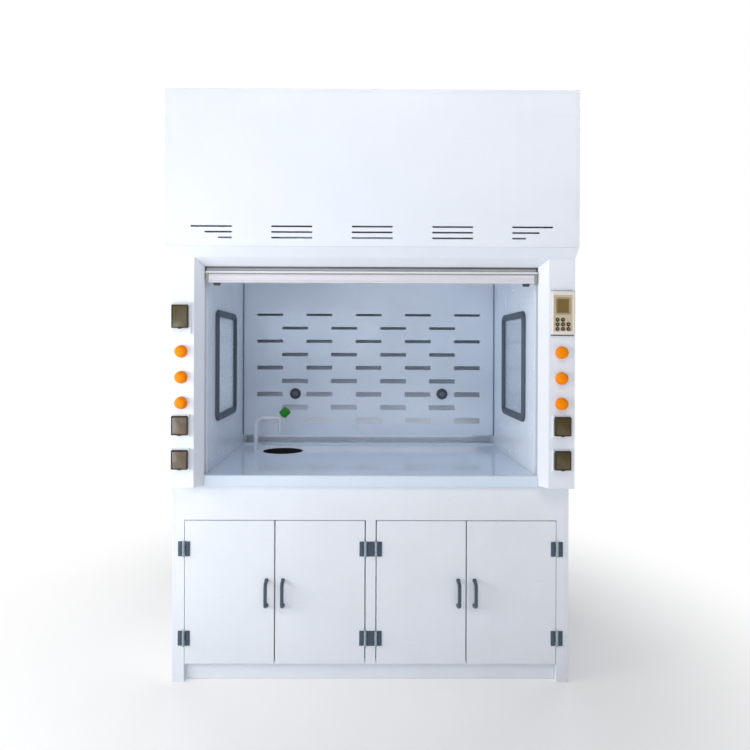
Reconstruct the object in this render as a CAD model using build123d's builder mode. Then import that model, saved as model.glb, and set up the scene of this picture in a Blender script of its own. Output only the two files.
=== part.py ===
from build123d import *
import os
from math import pi, sin, cos, radians, hypot

# Bench fume hood in welded polypropylene sheet: base cabinet, worktop, fume
# chamber with slotted baffle, two control columns and an upper sash housing.
# Frame: +X to the right, -Y to the front, +Z up, origin on the floor under
# the middle of the hood.  Millimetres.

# ---------------------------------------------------------------- dimensions
WIDTH, DEPTH, HEIGHT = 1500.0, 850.0, 2200.0
HX, YF, YB = WIDTH / 2, -DEPTH / 2, DEPTH / 2
SKIN = 8.0                       # outer sheet
SHEET = 6.0                      # inner sheet
CAB_Y, CAB_TOP = -332.0, 748.0   # cabinet face, top of the cabinet sides
COL_Y = -387.0                   # face of the control columns
COL_X = 654.0                    # inner edge of a column's flat face
BEV_X, BEV_Y = 628.0, -340.0     # inner end of a column's bevel
PANEL_Z = 1632.0                 # lower edge of the upper front panel
COL_TOP = 1597.0                 # top of the column faces
HEAD_Z = 1571.0                  # lower edge of the header, top of the opening
TOP_Z = 785.0                    # worktop surface
LINER_X = 626.0                  # inner face of the chamber walls
LINER_Y = -310.0
BAFFLE_Y = 315.0
CEIL_Z = 1700.0
DEV_X = 701.0                    # middle of the column devices

DOOR_Z0, DOOR_Z1 = 68.0, 610.0
HINGE_X_OUT, HINGE_X_IN = 706.0, 20.0
HINGE_Y = -338.0
HINGE_ZS = (166.0, 504.0)
LEAF_H = 56.0
KNUCKLE_R, PIN_R, PIN_GAP = 5.0, 2.5, 0.05
HANDLE_Z, HANDLE_L, HANDLE_W, HANDLE_OUT = 337.5, 110.0, 15.0, 34.0

SASH_LOW_Y = (-333.0, -327.0)
SASH_UP_Y = (-321.0, -315.0)
RAIL_Z0, RAIL_Z1 = 1509.0, 1553.0
SASH_X = 640.0

PULLEY_X, PULLEY_Z, PULLEY_R = 646.0, 2090.0, 44.0
CABLE_Y, CABLE_R = -330.0, 1.5
WEIGHT_Z0, WEIGHT_L, WEIGHT_S = 800.0, 498.0, 46.0

DUCT_Y, DUCT_R, DUCT_WALL = 250.0, 125.0, 4.0

WIN_Y0, WIN_Y1, WIN_Z0, WIN_Z1 = -200.5, 131.0, 965.5, 1419.0
WIN_W, WIN_R = 28.5, 35.0

SINK_X, SINK_Y, SINK_A, SINK_B, SINK_DEEP = -401.0, 134.0, 96.0, 80.0, 150.0
SINK_RING = 14.0                 # width of the ring welded in round the cup
TAP_X, TAP_Y, TAP_R = -532.0, 160.0, 10.0
TAP_ARM_Z, TAP_REACH = 934.0, 110.0
TAP_TILT = 46.0                  # rise of the valve axis above the arm

KNOB_X, KNOB_ZS, KNOB_R = 700.5, (1250.5, 1155.5, 1061.5), 23.0
SOCKET_ZS = (978.5, 853.5)
BREAKER_Z = 1377.5
G = 0.1                          # gap between plates that share a node

os.makedirs("parts", exist_ok=True)


# ------------------------------------------------------------------- helpers
def slab(x0, x1, y0, y1, z0, z1, mode=Mode.ADD):
    """Rectangular plate between two corners."""
    with BuildSketch(Plane.XY.offset(z0)) as outline:
        with Locations(((x0 + x1) / 2, (y0 + y1) / 2)):
            Rectangle(abs(x1 - x0), abs(y1 - y0))
    extrude(outline.sketch, amount=z1 - z0, mode=mode)


def prism(plane, points, depth, mode=Mode.ADD):
    """Polygon on a plane, extruded along the plane's normal."""
    with BuildSketch(plane) as outline:
        with BuildLine():
            Polyline(*points, close=True)
        make_face()
    extrude(outline.sketch, amount=depth, mode=mode)


def across(points, x0, x1, mode=Mode.ADD):
    """(y, z) polygon extruded from x0 to x1."""
    prism(Plane.YZ.offset(x0), points, x1 - x0, mode)


def disc(plane, u, v, r, depth, mode=Mode.ADD):
    """Round boss or hole on a plane."""
    with BuildSketch(plane) as outline:
        with Locations((u, v)):
            Circle(r)
    extrude(outline.sketch, amount=depth, mode=mode)


def facing(y):
    """Upright plane at y whose normal points to the front."""
    return Plane((0, y, 0), x_dir=(1, 0, 0), z_dir=(0, -1, 0))


def front_rect(x0, x1, z0, z1, y_back, depth, r=0.0, mode=Mode.ADD):
    """Rectangle seen from the front, rounded by r, standing depth forward."""
    with BuildSketch(facing(y_back)) as outline:
        with Locations(((x0 + x1) / 2, (z0 + z1) / 2)):
            if r:
                RectangleRounded(x1 - x0, z1 - z0, r)
            else:
                Rectangle(x1 - x0, z1 - z0)
    extrude(outline.sketch, amount=depth, mode=mode)


def side_rect(y0, y1, z0, z1, x0, depth, r=0.0, mode=Mode.ADD):
    """Rectangle seen from the side, extruded along +X from x0."""
    with BuildSketch(Plane.YZ.offset(x0)) as outline:
        with Locations(((y0 + y1) / 2, (z0 + z1) / 2)):
            if r:
                RectangleRounded(y1 - y0, z1 - z0, r)
            else:
                Rectangle(y1 - y0, z1 - z0)
    extrude(outline.sketch, amount=depth, mode=mode)


def save(builder, name):
    builder.part.label = name
    export_step(builder.part, "parts/" + name + ".step")


# ------------------------------------------------------------- base cabinet
with BuildPart() as cabinet_carcass:
    # side panels, back, bottom, middle partition, two top stretchers
    slab(-HX, -HX + 10, CAB_Y, YB, 0, CAB_TOP - G)
    slab(HX - 10, HX, CAB_Y, YB, 0, CAB_TOP - G)
    slab(-HX + 10 + G, HX - 10 - G, YB - 10, YB - 2, 0, CAB_TOP - G)
    disc(facing(YB + 1), SINK_X, 520, 20.4, 12, Mode.SUBTRACT)
    slab(-HX + 10 + G, HX - 10 - G, -312, YB - 10 - G, DOOR_Z0, DOOR_Z0 + 12)
    slab(-6, 6, -312, YB - 10 - G, DOOR_Z0 + 12 + G, 744 - G)
    slab(-HX + 10 + G, HX - 10 - G, -313.9, -254, 744, 764.9)
    slab(-HX + 10 + G, HX - 10 - G, 340, YB - 10 - G, 744, 764.9)
save(cabinet_carcass, "cabinet_carcass")

with BuildPart() as cabinet_front_frame:
    # two posts down to the floor, top rail, mullion, recessed toe kick
    for s in (-1, 1):
        a, b = sorted((s * 705.0, s * (HX - 10 - G)))
        slab(a, b, CAB_Y, CAB_Y + 18, 0, 764.9)
    slab(-705 + G, 705 - G, CAB_Y, CAB_Y + 18, DOOR_Z1 + 3, 764.9)
    slab(-19, 19, CAB_Y, CAB_Y + 18, DOOR_Z0, DOOR_Z1 + 3 - G)
    slab(-703, 703, -313, -303, 0, DOOR_Z0 - 0.5)
save(cabinet_front_frame, "cabinet_front_frame")

# Four inset doors.  side -1: hinge on the left edge, +1: on the right edge.
DOORS = (
    ("door_1", -703.5, -365.3, -1),
    ("door_2", -360.7, -22.5, 1),
    ("door_3", 22.5, 360.7, -1),
    ("door_4", 365.3, 703.5, 1),
)
for door_name, dx0, dx1, hand in DOORS:
    with BuildPart() as door:
        with BuildSketch(Plane.XY.offset(DOOR_Z0)) as door_plan:
            with Locations(((dx0 + dx1) / 2, CAB_Y + 9)):
                Rectangle(dx1 - dx0, 18)
        extrude(amount=DOOR_Z1 - DOOR_Z0)
        chamfer(door.faces().sort_by(Axis.Y)[0].edges(), 1.2)
    save(door, door_name)

    free_x = dx1 if hand < 0 else dx0
    hinge_x = (dx0 - 2.5) if hand < 0 else (dx1 + 2.5)
    handle_x = free_x + hand * 28.7
    with BuildPart() as hardware:
        # bow handle, standing clear of the door face
        with BuildSketch(Plane.YZ.offset(handle_x - HANDLE_W / 2)) as bow:
            with BuildLine() as bow_line:
                FilletPolyline(
                    (CAB_Y, HANDLE_Z - HANDLE_L / 2),
                    (CAB_Y - HANDLE_OUT, HANDLE_Z - HANDLE_L / 2 + 6),
                    (CAB_Y - HANDLE_OUT, HANDLE_Z + HANDLE_L / 2 - 6),
                    (CAB_Y, HANDLE_Z + HANDLE_L / 2),
                    radius=14,
                )
                FilletPolyline(
                    (CAB_Y, HANDLE_Z + HANDLE_L / 2 - 14),
                    (CAB_Y - HANDLE_OUT + 9, HANDLE_Z + HANDLE_L / 2 - 17),
                    (CAB_Y - HANDLE_OUT + 9, HANDLE_Z - HANDLE_L / 2 + 17),
                    (CAB_Y, HANDLE_Z - HANDLE_L / 2 + 14),
                    radius=7,
                )
                Line((CAB_Y, HANDLE_Z + HANDLE_L / 2), (CAB_Y, HANDLE_Z + HANDLE_L / 2 - 14))
                Line((CAB_Y, HANDLE_Z - HANDLE_L / 2 + 14), (CAB_Y, HANDLE_Z - HANDLE_L / 2))
            make_face()
        extrude(amount=HANDLE_W)
        # door leaf of each hinge, with its middle knuckle
        for hz in HINGE_ZS:
            w = -hand
            e0, e1 = sorted((hinge_x + w * 5.5, hinge_x + w * 22.5))
            slab(e0, e1, CAB_Y - 3, CAB_Y, hz - LEAF_H / 2, hz + LEAF_H / 2)
            t0, t1 = sorted((hinge_x, hinge_x + w * 6.0))
            slab(t0, t1, CAB_Y - 3, CAB_Y - 0.3, hz - 9, hz + 9)
            disc(Plane.XY.offset(hz - 9), hinge_x, HINGE_Y, KNUCKLE_R, 18)
            disc(Plane.XY.offset(hz - 10), hinge_x, HINGE_Y, PIN_R + PIN_GAP, 20, Mode.SUBTRACT)
    save(hardware, door_name + "_hardware")

with BuildPart() as hinge_frame_leaves:
    # frame leaf of each hinge, with its upper and lower knuckles
    for door_name, dx0, dx1, hand in DOORS:
        hinge_x = (dx0 - 2.5) if hand < 0 else (dx1 + 2.5)
        width = 22.5 if abs(hinge_x) > 100 else 19.9
        for hz in HINGE_ZS:
            e0, e1 = sorted((hinge_x + hand * 5.5, hinge_x + hand * width))
            slab(e0, e1, CAB_Y - 3, CAB_Y, hz - LEAF_H / 2, hz + LEAF_H / 2)
            for k0, k1 in ((-LEAF_H / 2, -9.4), (9.4, LEAF_H / 2)):
                t0, t1 = sorted((hinge_x, hinge_x + hand * 6.0))
                slab(t0, t1, CAB_Y - 3, CAB_Y - 0.3, hz + k0, hz + k1)
                disc(Plane.XY.offset(hz + k0), hinge_x, HINGE_Y, KNUCKLE_R, k1 - k0)
                disc(Plane.XY.offset(hz + k0 - 1), hinge_x, HINGE_Y, PIN_R + PIN_GAP, k1 - k0 + 2, Mode.SUBTRACT)
save(hinge_frame_leaves, "hinge_frame_leaves")

with BuildPart() as hinge_pins:
    for door_name, dx0, dx1, hand in DOORS:
        hinge_x = (dx0 - 2.5) if hand < 0 else (dx1 + 2.5)
        for hz in HINGE_ZS:
            disc(Plane.XY.offset(hz - LEAF_H / 2 - 0.5), hinge_x, HINGE_Y, PIN_R, LEAF_H + 1)
            disc(Plane.XY.offset(hz + LEAF_H / 2 + 0.1), hinge_x, HINGE_Y, PIN_R + 1.2, 2)
save(hinge_pins, "hinge_pins")

# ------------------------------------------------------------------ worktop
with BuildPart() as worktop:
    slab(-HX + SKIN + G, HX - SKIN - G, -339.8, YB - SKIN - G, 765, TOP_Z)
    slab(-627.5, 627.5, -345, -333, 744, TOP_Z)
    with BuildSketch(Plane.XY.offset(760)) as bowl_hole:
        with Locations((SINK_X, SINK_Y)):
            Ellipse(SINK_A + SINK_RING + G, SINK_B + SINK_RING + G)
    extrude(amount=30, mode=Mode.SUBTRACT)
    disc(Plane.XY.offset(760), TAP_X, TAP_Y, 9, 30, Mode.SUBTRACT)
    fillet(worktop.edges().filter_by(Axis.X).filter_by(
        lambda e: abs(e.center().Y + 345) < 0.1 and abs(e.center().Z - TOP_Z) < 0.1), 5)
    # flush ring round the cup, welded in from twelve segments
    for k in range(12):
        a0, a1 = radians(30 * k) + 0.0006, radians(30 * (k + 1)) - 0.0006
        with BuildSketch(Plane.XY.offset(765)) as segment:
            with Locations((SINK_X, SINK_Y)):
                Ellipse(SINK_A + SINK_RING, SINK_B + SINK_RING)
                Ellipse(SINK_A + 0.3, SINK_B + 0.3, mode=Mode.SUBTRACT)
            with BuildLine():
                Polyline((SINK_X, SINK_Y), (SINK_X + 400 * cos(a0), SINK_Y + 400 * sin(a0)),
                         (SINK_X + 400 * cos(a1), SINK_Y + 400 * sin(a1)), close=True)
            make_face(mode=Mode.INTERSECT)
        extrude(amount=TOP_Z - 765)
save(worktop, "worktop")

with BuildPart() as cup_sink:
    with BuildSketch(Plane.XY.offset(TOP_Z - SINK_DEEP)) as cup_outer:
        with Locations((SINK_X, SINK_Y)):
            Ellipse(SINK_A, SINK_B)
    extrude(amount=SINK_DEEP)
    with BuildSketch(Plane.XY.offset(TOP_Z - SINK_DEEP + 6)) as cup_inner:
        with Locations((SINK_X, SINK_Y)):
            Ellipse(SINK_A - 4, SINK_B - 4)
    extrude(amount=SINK_DEEP, mode=Mode.SUBTRACT)
    disc(Plane.XY.offset(TOP_Z - SINK_DEEP - 1), SINK_X, SINK_Y, 17, 12, Mode.SUBTRACT)
    # rim that seats on the underside of the worktop
    with BuildSketch(Plane.XY.offset(757)) as cup_rim:
        with Locations((SINK_X, SINK_Y)):
            Ellipse(SINK_A + 12, SINK_B + 12)
            Ellipse(SINK_A - 1, SINK_B - 1, mode=Mode.SUBTRACT)
    extrude(amount=7.9)
    # tailpiece, bottle trap and outlet through the cabinet back, below the cup
    disc(Plane.XY.offset(560), SINK_X, SINK_Y, 20, TOP_Z - SINK_DEEP - 560 - G)
    disc(Plane.XY.offset(470), SINK_X, SINK_Y, 36, 95)
    disc(Plane.XY.offset(462), SINK_X, SINK_Y, 28, 10)
    disc(facing(YB - 0.5), SINK_X, 520, 20, YB - 0.5 - SINK_Y)
    disc(facing(YB + 1), SINK_X, 520, 17, YB - SINK_Y - 36, Mode.SUBTRACT)
    disc(Plane.XY.offset(575), SINK_X, SINK_Y, 17, 70, Mode.SUBTRACT)
save(cup_sink, "cup_sink")

# ------------------------------------------------------------- outer shell
SIDE = [(COL_Y, CAB_TOP), (COL_Y, COL_TOP), (YF, PANEL_Z), (YF, HEIGHT), (YB, HEIGHT), (YB, CAB_TOP)]
HOLE = (WIN_Y0 + 24, WIN_Y1 - 24, WIN_Z0 + 24, WIN_Z1 - 24)
with BuildPart() as hood_shell:
    for x0 in (-HX, HX - SKIN):
        across(SIDE, x0, x0 + SKIN)
        side_rect(*HOLE, x0 - 1, SKIN + 2, 16, Mode.SUBTRACT)
    slab(-HX + SKIN + G, HX - SKIN - G, YB - SKIN, YB - 2, CAB_TOP, HEIGHT - SKIN - G)
    slab(-HX + SKIN + G, HX - SKIN - G, YF, YB, HEIGHT - SKIN, HEIGHT)
    disc(Plane.XY.offset(HEIGHT - SKIN - 1), 0, DUCT_Y, DUCT_R - DUCT_WALL, SKIN + 2, Mode.SUBTRACT)
save(hood_shell, "hood_shell")

LOUVRES = (
    (-582.0, ((-656, -507), (-606, -507), (-557, -507))),
    (-291.0, ((-365, -217),) * 3),
    (0.0, ((-74, 74),) * 3),
    (291.0, ((217, 365),) * 3),
    (582.0, ((507, 656), (507, 606), (507, 557))),
)
with BuildPart() as upper_front_panel:
    front_rect(-HX + SKIN, HX - SKIN, PANEL_Z, HEIGHT - SKIN - G, YF + SKIN, SKIN)
    for _, rows in LOUVRES:
        for (lx0, lx1), lz in zip(rows, (1704.0, 1683.5, 1663.0)):
            front_rect(lx0, lx1, lz - 3.1, lz + 3.1, YF + SKIN + 1, SKIN + 2, 2.0, Mode.SUBTRACT)
save(upper_front_panel, "upper_front_panel")

with BuildPart() as soffit_panel:
    # sloping underside of the housing, full width
    across([(YF, PANEL_Z - G), (COL_Y, COL_TOP), (COL_Y + 8, COL_TOP), (COL_Y + 8, COL_TOP + 4), (YF + 8, PANEL_Z - G)],
           -HX + SKIN, HX - SKIN)
    # header bevel between the columns, mitred into their bevels
    across([(COL_Y, COL_TOP), (BEV_Y, HEAD_Z), (BEV_Y + 2.9, HEAD_Z + 5.25), (COL_Y + 8, COL_TOP + 4), (COL_Y + 8, COL_TOP)],
           -COL_X, COL_X)
    for s in (-1, 1):
        prism(Plane.XY.offset(HEAD_Z - 20),
              [(s * COL_X, COL_Y), (s * BEV_X, BEV_Y), (s * (BEV_X - 2.5), BEV_Y + 5), (s * 700, BEV_Y + 5), (s * 700, COL_Y)],
              COL_TOP - HEAD_Z + 20, Mode.SUBTRACT)
    # upright flange behind the front panel
    slab(-HX + SKIN, HX - SKIN, YF + SKIN, YF + SKIN + 4, PANEL_Z - 3, PANEL_Z + 18)
save(soffit_panel, "soffit_panel")

with BuildPart() as front_columns:
    for s in (-1, 1):
        prism(Plane.XY.offset(CAB_TOP),
              [(s * (HX - SKIN), COL_Y), (s * COL_X, COL_Y), (s * BEV_X, BEV_Y),
               (s * 634.85, BEV_Y), (s * 657.5, COL_Y + SHEET), (s * (HX - SKIN), COL_Y + SHEET)],
              COL_TOP - CAB_TOP)
        # floor of the column
        prism(Plane.XY.offset(CAB_TOP),
              [(s * (HX - SKIN), COL_Y + SHEET), (s * 657.5, COL_Y + SHEET), (s * 634.85, BEV_Y), (s * (HX - SKIN), BEV_Y)],
              SHEET)
    # tops cut to the header bevel
    across([(COL_Y, COL_TOP), (BEV_Y, HEAD_Z), (BEV_Y + 5, HEAD_Z - 2.8), (BEV_Y + 5, COL_TOP + 5), (COL_Y, COL_TOP + 5)],
           -COL_X - 2, COL_X + 2, Mode.SUBTRACT)
    for s in (-1, 1):
        for kz in KNOB_ZS:
            disc(facing(COL_Y + 10), s * KNOB_X, kz, 6, 20, Mode.SUBTRACT)
        for sz in SOCKET_ZS:
            front_rect(s * DEV_X - 27, s * DEV_X + 27, sz - 29, sz + 29, COL_Y + 10, 20, 0, Mode.SUBTRACT)
    front_rect(-DEV_X - 24, -DEV_X + 24, BREAKER_Z - 35.5, BREAKER_Z + 35.5, COL_Y + 10, 20, 0, Mode.SUBTRACT)
    front_rect(671.4, 731.2, 1328, 1460, COL_Y + 10, 20, 0, Mode.SUBTRACT)
save(front_columns, "front_columns")

# ------------------------------------------------------------ fume chamber
with BuildPart() as chamber_liner:
    for s in (-1, 1):
        a, b = sorted((s * LINER_X, s * (LINER_X + SHEET)))
        slab(a, b, LINER_Y, YB - SKIN - G, TOP_Z, CEIL_Z + SHEET)
        side_rect(*HOLE, a - 1, SHEET + 2, 16, Mode.SUBTRACT)
        # window reveal between the liner and the outer skin
        r0, r1 = sorted((s * (LINER_X + SHEET + G), s * (HX - SKIN - G)))
        side_rect(HOLE[0] - 4, HOLE[1] + 4, HOLE[2] - 4, HOLE[3] + 4, r0, r1 - r0, 20)
        side_rect(*HOLE, r0 - 1, r1 - r0 + 2, 16, Mode.SUBTRACT)
    # ceiling with the duct hole and the lamp aperture
    slab(-LINER_X + G, LINER_X - G, LINER_Y, YB - SKIN - G, CEIL_Z, CEIL_Z + SHEET)
    disc(Plane.XY.offset(CEIL_Z - 1), 0, DUCT_Y, DUCT_R - DUCT_WALL, SHEET + 2, Mode.SUBTRACT)
    slab(-300, 300, -190, -90, CEIL_Z - 1, CEIL_Z + SHEET + 1, Mode.SUBTRACT)
    # upper front wall behind the sash
    slab(-LINER_X + G, LINER_X - G, LINER_Y, LINER_Y + SHEET, 1560, CEIL_Z - G)
save(chamber_liner, "chamber_liner")

with BuildPart() as window_gaskets:
    # one rounded frame on each side of each side window
    for s in (-1, 1):
        # chamber side, standing proud of the wall
        a, b = sorted((s * (LINER_X - 12), s * LINER_X))
        side_rect(WIN_Y0, WIN_Y1, WIN_Z0, WIN_Z1, a, b - a, WIN_R)
        side_rect(WIN_Y0 + WIN_W, WIN_Y1 - WIN_W, WIN_Z0 + WIN_W, WIN_Z1 - WIN_W, a - 1, b - a + 2, 12, Mode.SUBTRACT)
        # outer side, let into the skin's opening
        a, b = sorted((s * (HX - SKIN), s * HX))
        side_rect(HOLE[0] + 0.2, HOLE[1] - 0.2, HOLE[2] + 0.2, HOLE[3] - 0.2, a, b - a, 15.8)
        side_rect(WIN_Y0 + WIN_W + 6, WIN_Y1 - WIN_W - 6, WIN_Z0 + WIN_W + 6, WIN_Z1 - WIN_W - 6, a - 1, b - a + 2, 10, Mode.SUBTRACT)
save(window_gaskets, "window_gaskets")

with BuildPart() as window_panes:
    for s in (-1, 1):
        for edge in (LINER_X, HX - SKIN - 5.2):
            a, b = sorted((s * (edge + 0.1), s * (edge + 5.1)))
            side_rect(HOLE[0] + 0.3, HOLE[1] - 0.3, HOLE[2] + 0.3, HOLE[3] - 0.3, a, b - a, 15.7)
save(window_panes, "window_panes")

with BuildPart() as baffle:
    front_rect(-LINER_X + G, LINER_X - G, 830, 1590, BAFFLE_Y + SKIN, SKIN)
    for row in range(9):
        rz = (1430.5, 1364.0, 1298.5, 1232.0, 1166.5, 1100.0, 1034.0, 968.5, 903.0)[row]
        xs = (-492, -246, 0, 246, 492) if row % 2 == 0 else (-367.5, -122.5, 122.5, 367.5)
        half = 6.0 + row
        for bx in xs:
            front_rect(bx - 65.5, bx + 63.5, rz - half, rz + half, BAFFLE_Y + SKIN + 1, SKIN + 2, 4.5, Mode.SUBTRACT)
    for s in (-1, 1):
        disc(facing(BAFFLE_Y + SKIN + 1), s * 366.0, 1037.0, 8.2, SKIN + 2, Mode.SUBTRACT)
    # sloped upper baffle and the low sill under the panel
    across([(315, 1590.2), (323, 1590.2), (112, 1690), (104, 1690)], -LINER_X + G, LINER_X - G)
    slab(-LINER_X + G, LINER_X - G, 296, 304, TOP_Z, TOP_Z + 8)
save(baffle, "baffle")

with BuildPart() as chamber_lamp:
    slab(-298, 298, -188, -92, CEIL_Z - 14, CEIL_Z + SHEET)
    slab(-312, 312, -202, -78, CEIL_Z + SHEET + G, CEIL_Z + 70)
    fillet(chamber_lamp.faces().sort_by(Axis.Z)[0].edges(), 6)
save(chamber_lamp, "chamber_lamp")

with BuildPart() as exhaust_duct:
    # collar on the roof, and the duct down to the chamber ceiling
    disc(Plane.XY.offset(HEIGHT), 0, DUCT_Y, DUCT_R + 30, 6)
    disc(Plane.XY.offset(HEIGHT), 0, DUCT_Y, DUCT_R, 62)
    disc(Plane.XY.offset(CEIL_Z + SHEET), 0, DUCT_Y, DUCT_R, HEIGHT - SKIN - CEIL_Z - SHEET - G)
    disc(Plane.XY.offset(CEIL_Z), 0, DUCT_Y, DUCT_R - DUCT_WALL, HEIGHT - CEIL_Z + 70, Mode.SUBTRACT)
save(exhaust_duct, "exhaust_duct")

# -------------------------------------------------------------------- sash
with BuildPart() as sash_tracks:
    for s in (-1, 1):
        # channel with two grooves, behind each column bevel
        def rib(y0, y1):
            a, b = sorted((s * 630.0, s * 645.0))
            slab(a, b, y0, y1, TOP_Z, 1985)
        rib(-338, -335)
        rib(-325.4, -322.6)
        rib(-313, -310.2)
        a, b = sorted((s * 644.0, s * 649.0))
        slab(a, b, -338, -310.2, TOP_Z, 1985)
        # pulley bracket with its axle, hung from the roof
        a, b = sorted((s * 628.0, s * 664.0))
        slab(a, b, -318, -312, 2064, HEIGHT - SKIN - G)
        disc(facing(-318), s * PULLEY_X, PULLEY_Z, 5.0, 24)
save(sash_tracks, "sash_tracks")

with BuildPart() as sash_lower_glass:
    slab(-SASH_X, SASH_X, SASH_LOW_Y[0], SASH_LOW_Y[1], 1532, 1939)
save(sash_lower_glass, "sash_lower_glass")

RAIL = [(-324, 1511), (-324, RAIL_Z1), (-345, RAIL_Z1), (-347, 1551), (-347, 1546), (-344.5, 1544.5),
        (-344.5, 1542.5), (-346, 1541), (-346, 1520), (-349, 1517), (-349, 1511), (-347, RAIL_Z0), (-326, RAIL_Z0)]
with BuildPart() as sash_lower_rail:
    across(RAIL, -612, 612)
    slab(-614, 614, SASH_LOW_Y[0] - 0.05, SASH_LOW_Y[1] + 0.05, 1531.9, 1560, Mode.SUBTRACT)
    for s in (-1, 1):
        # end cap and rubber bumper
        a, b = sorted((s * (612 + G), s * 625))
        slab(a, b, -345, -324.5, RAIL_Z0 + 1, RAIL_Z1 - 6)
        slab(a - 1, b + 1, SASH_LOW_Y[0] - 0.05, SASH_LOW_Y[1] + 0.05, 1531.9, 1560, Mode.SUBTRACT)
        a, b = sorted((s * 571.0, s * 597.0))
        slab(a, b, -344, -330, 1499, RAIL_Z0 - G)
save(sash_lower_rail, "sash_lower_rail")

with BuildPart() as sash_upper:
    slab(-SASH_X, SASH_X, SASH_UP_Y[0], SASH_UP_Y[1], 1524, 1966)
save(sash_upper, "sash_upper")

with BuildPart() as counterweights:
    for s in (-1, 1):
        cx = s * (PULLEY_X + PULLEY_R)
        slab(cx - WEIGHT_S / 2, cx + WEIGHT_S / 2, CABLE_Y - WEIGHT_S / 2, CABLE_Y + WEIGHT_S / 2,
             WEIGHT_Z0, WEIGHT_Z0 + WEIGHT_L)
    chamfer(counterweights.edges().filter_by(Axis.Z), 4)
save(counterweights, "counterweights")

for side_name, s in (("left", -1), ("right", 1)):
    with BuildPart() as pulley:
        with BuildSketch(Plane.XY.offset(0)) as pulley_half:
            with BuildLine():
                Polyline((5.05, -6), (48, -6), (48, -4.2), (46, -2.2), (42.3, -2.2), (42.3, 2.2), (46, 2.2), (48, 4.2),
                         (48, 6), (14, 6), (14, 8), (5.05, 8), close=True)
            make_face()
        revolve(axis=Axis.Y)
    pulley_part = Pos(s * PULLEY_X, CABLE_Y, PULLEY_Z) * Rot(180, 0, 0) * pulley.part
    pulley_part.label = "pulley_" + side_name
    export_step(pulley_part, "parts/pulley_" + side_name + ".step")

with BuildPart() as lift_cables:
    for s in (-1, 1):
        xi, xo = s * (PULLEY_X - PULLEY_R), s * (PULLEY_X + PULLEY_R)
        disc(Plane.XY.offset(1939.2), xi, CABLE_Y, CABLE_R, PULLEY_Z - 1939.2)
        disc(Plane.XY.offset(WEIGHT_Z0 + WEIGHT_L + 0.2), xo, CABLE_Y, CABLE_R, PULLEY_Z - WEIGHT_Z0 - WEIGHT_L - 0.2)
        with BuildSketch(Plane.XY.offset(PULLEY_Z)) as wrap:
            with Locations((xo, CABLE_Y)):
                Circle(CABLE_R)
        revolve(axis=Axis((s * PULLEY_X, CABLE_Y, PULLEY_Z), (0, 1, 0)), revolution_arc=-180 * s)
save(lift_cables, "lift_cables")

# ------------------------------------------------- electrical devices, left
COVERS = [("socket_cover_left_upper", -DEV_X, SOCKET_ZS[0], 67.0), ("socket_cover_left_lower", -DEV_X, SOCKET_ZS[1], 67.0),
          ("socket_cover_right_upper", DEV_X, SOCKET_ZS[0], 67.0), ("socket_cover_right_lower", DEV_X, SOCKET_ZS[1], 67.0),
          ("breaker_cover", -DEV_X, BREAKER_Z, 83.0)]
FRAME_Y, COVER_W = COL_Y - 8, 59.0
PIVOT_Y = FRAME_Y - 3.6

with BuildPart() as device_frames:
    for name, cx, cz, ch in COVERS:
        s = 1 if cx > 0 else -1
        inner = cx - s * (33.4 if name != "breaker_cover" else 37.0)
        outer = cx + s * 36.0
        a, b = sorted((inner, outer))
        below = 40.0 if name != "breaker_cover" else 63.5
        above = 40.0 if name != "breaker_cover" else 51.5
        front_rect(a, b, cz - below, cz + above, COL_Y, 8, 3)
        front_rect(cx - 26, cx + 26, cz - (28 if below < 50 else 34), cz + (28 if below < 50 else 34), COL_Y + 1, 10, 0, Mode.SUBTRACT)
        # pivot lugs of the flip cover
        zt = cz + ch / 2
        for side in (-1, 1):
            u0, u1 = sorted((cx + side * (COVER_W / 2 + 0.4), cx + side * (COVER_W / 2 + 3.4)))
            slab(u0, u1, PIVOT_Y - 3, FRAME_Y, zt - 3, zt + 3)
            disc(Plane.YZ.offset(u0 - 1), PIVOT_Y, zt, 1.55, 5, Mode.SUBTRACT)
save(device_frames, "device_frames")

with BuildPart() as device_inserts:
    # socket faces with their contact slots, and the breaker module
    for name, cx, cz, ch in COVERS:
        if name == "breaker_cover":
            front_rect(cx - 22, cx + 22, cz - 33, cz + 33, COL_Y + 24, 33)
            front_rect(cx - 7, cx + 7, cz - 12, cz + 12, COL_Y + 6, 18, 0, Mode.SUBTRACT)
        else:
            front_rect(cx - 25.7, cx + 25.7, cz - 27.7, cz + 27.7, COL_Y + 26, 34.5)
            front_rect(cx - 1.2, cx + 1.2, cz + 6, cz + 15, COL_Y - 2, 10, 0, Mode.SUBTRACT)
            front_rect(cx - 9.5, cx - 7.1, cz - 14, cz - 5, COL_Y - 2, 10, 0, Mode.SUBTRACT)
            front_rect(cx + 7.1, cx + 9.5, cz - 14, cz - 5, COL_Y - 2, 10, 0, Mode.SUBTRACT)
save(device_inserts, "device_inserts")

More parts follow.
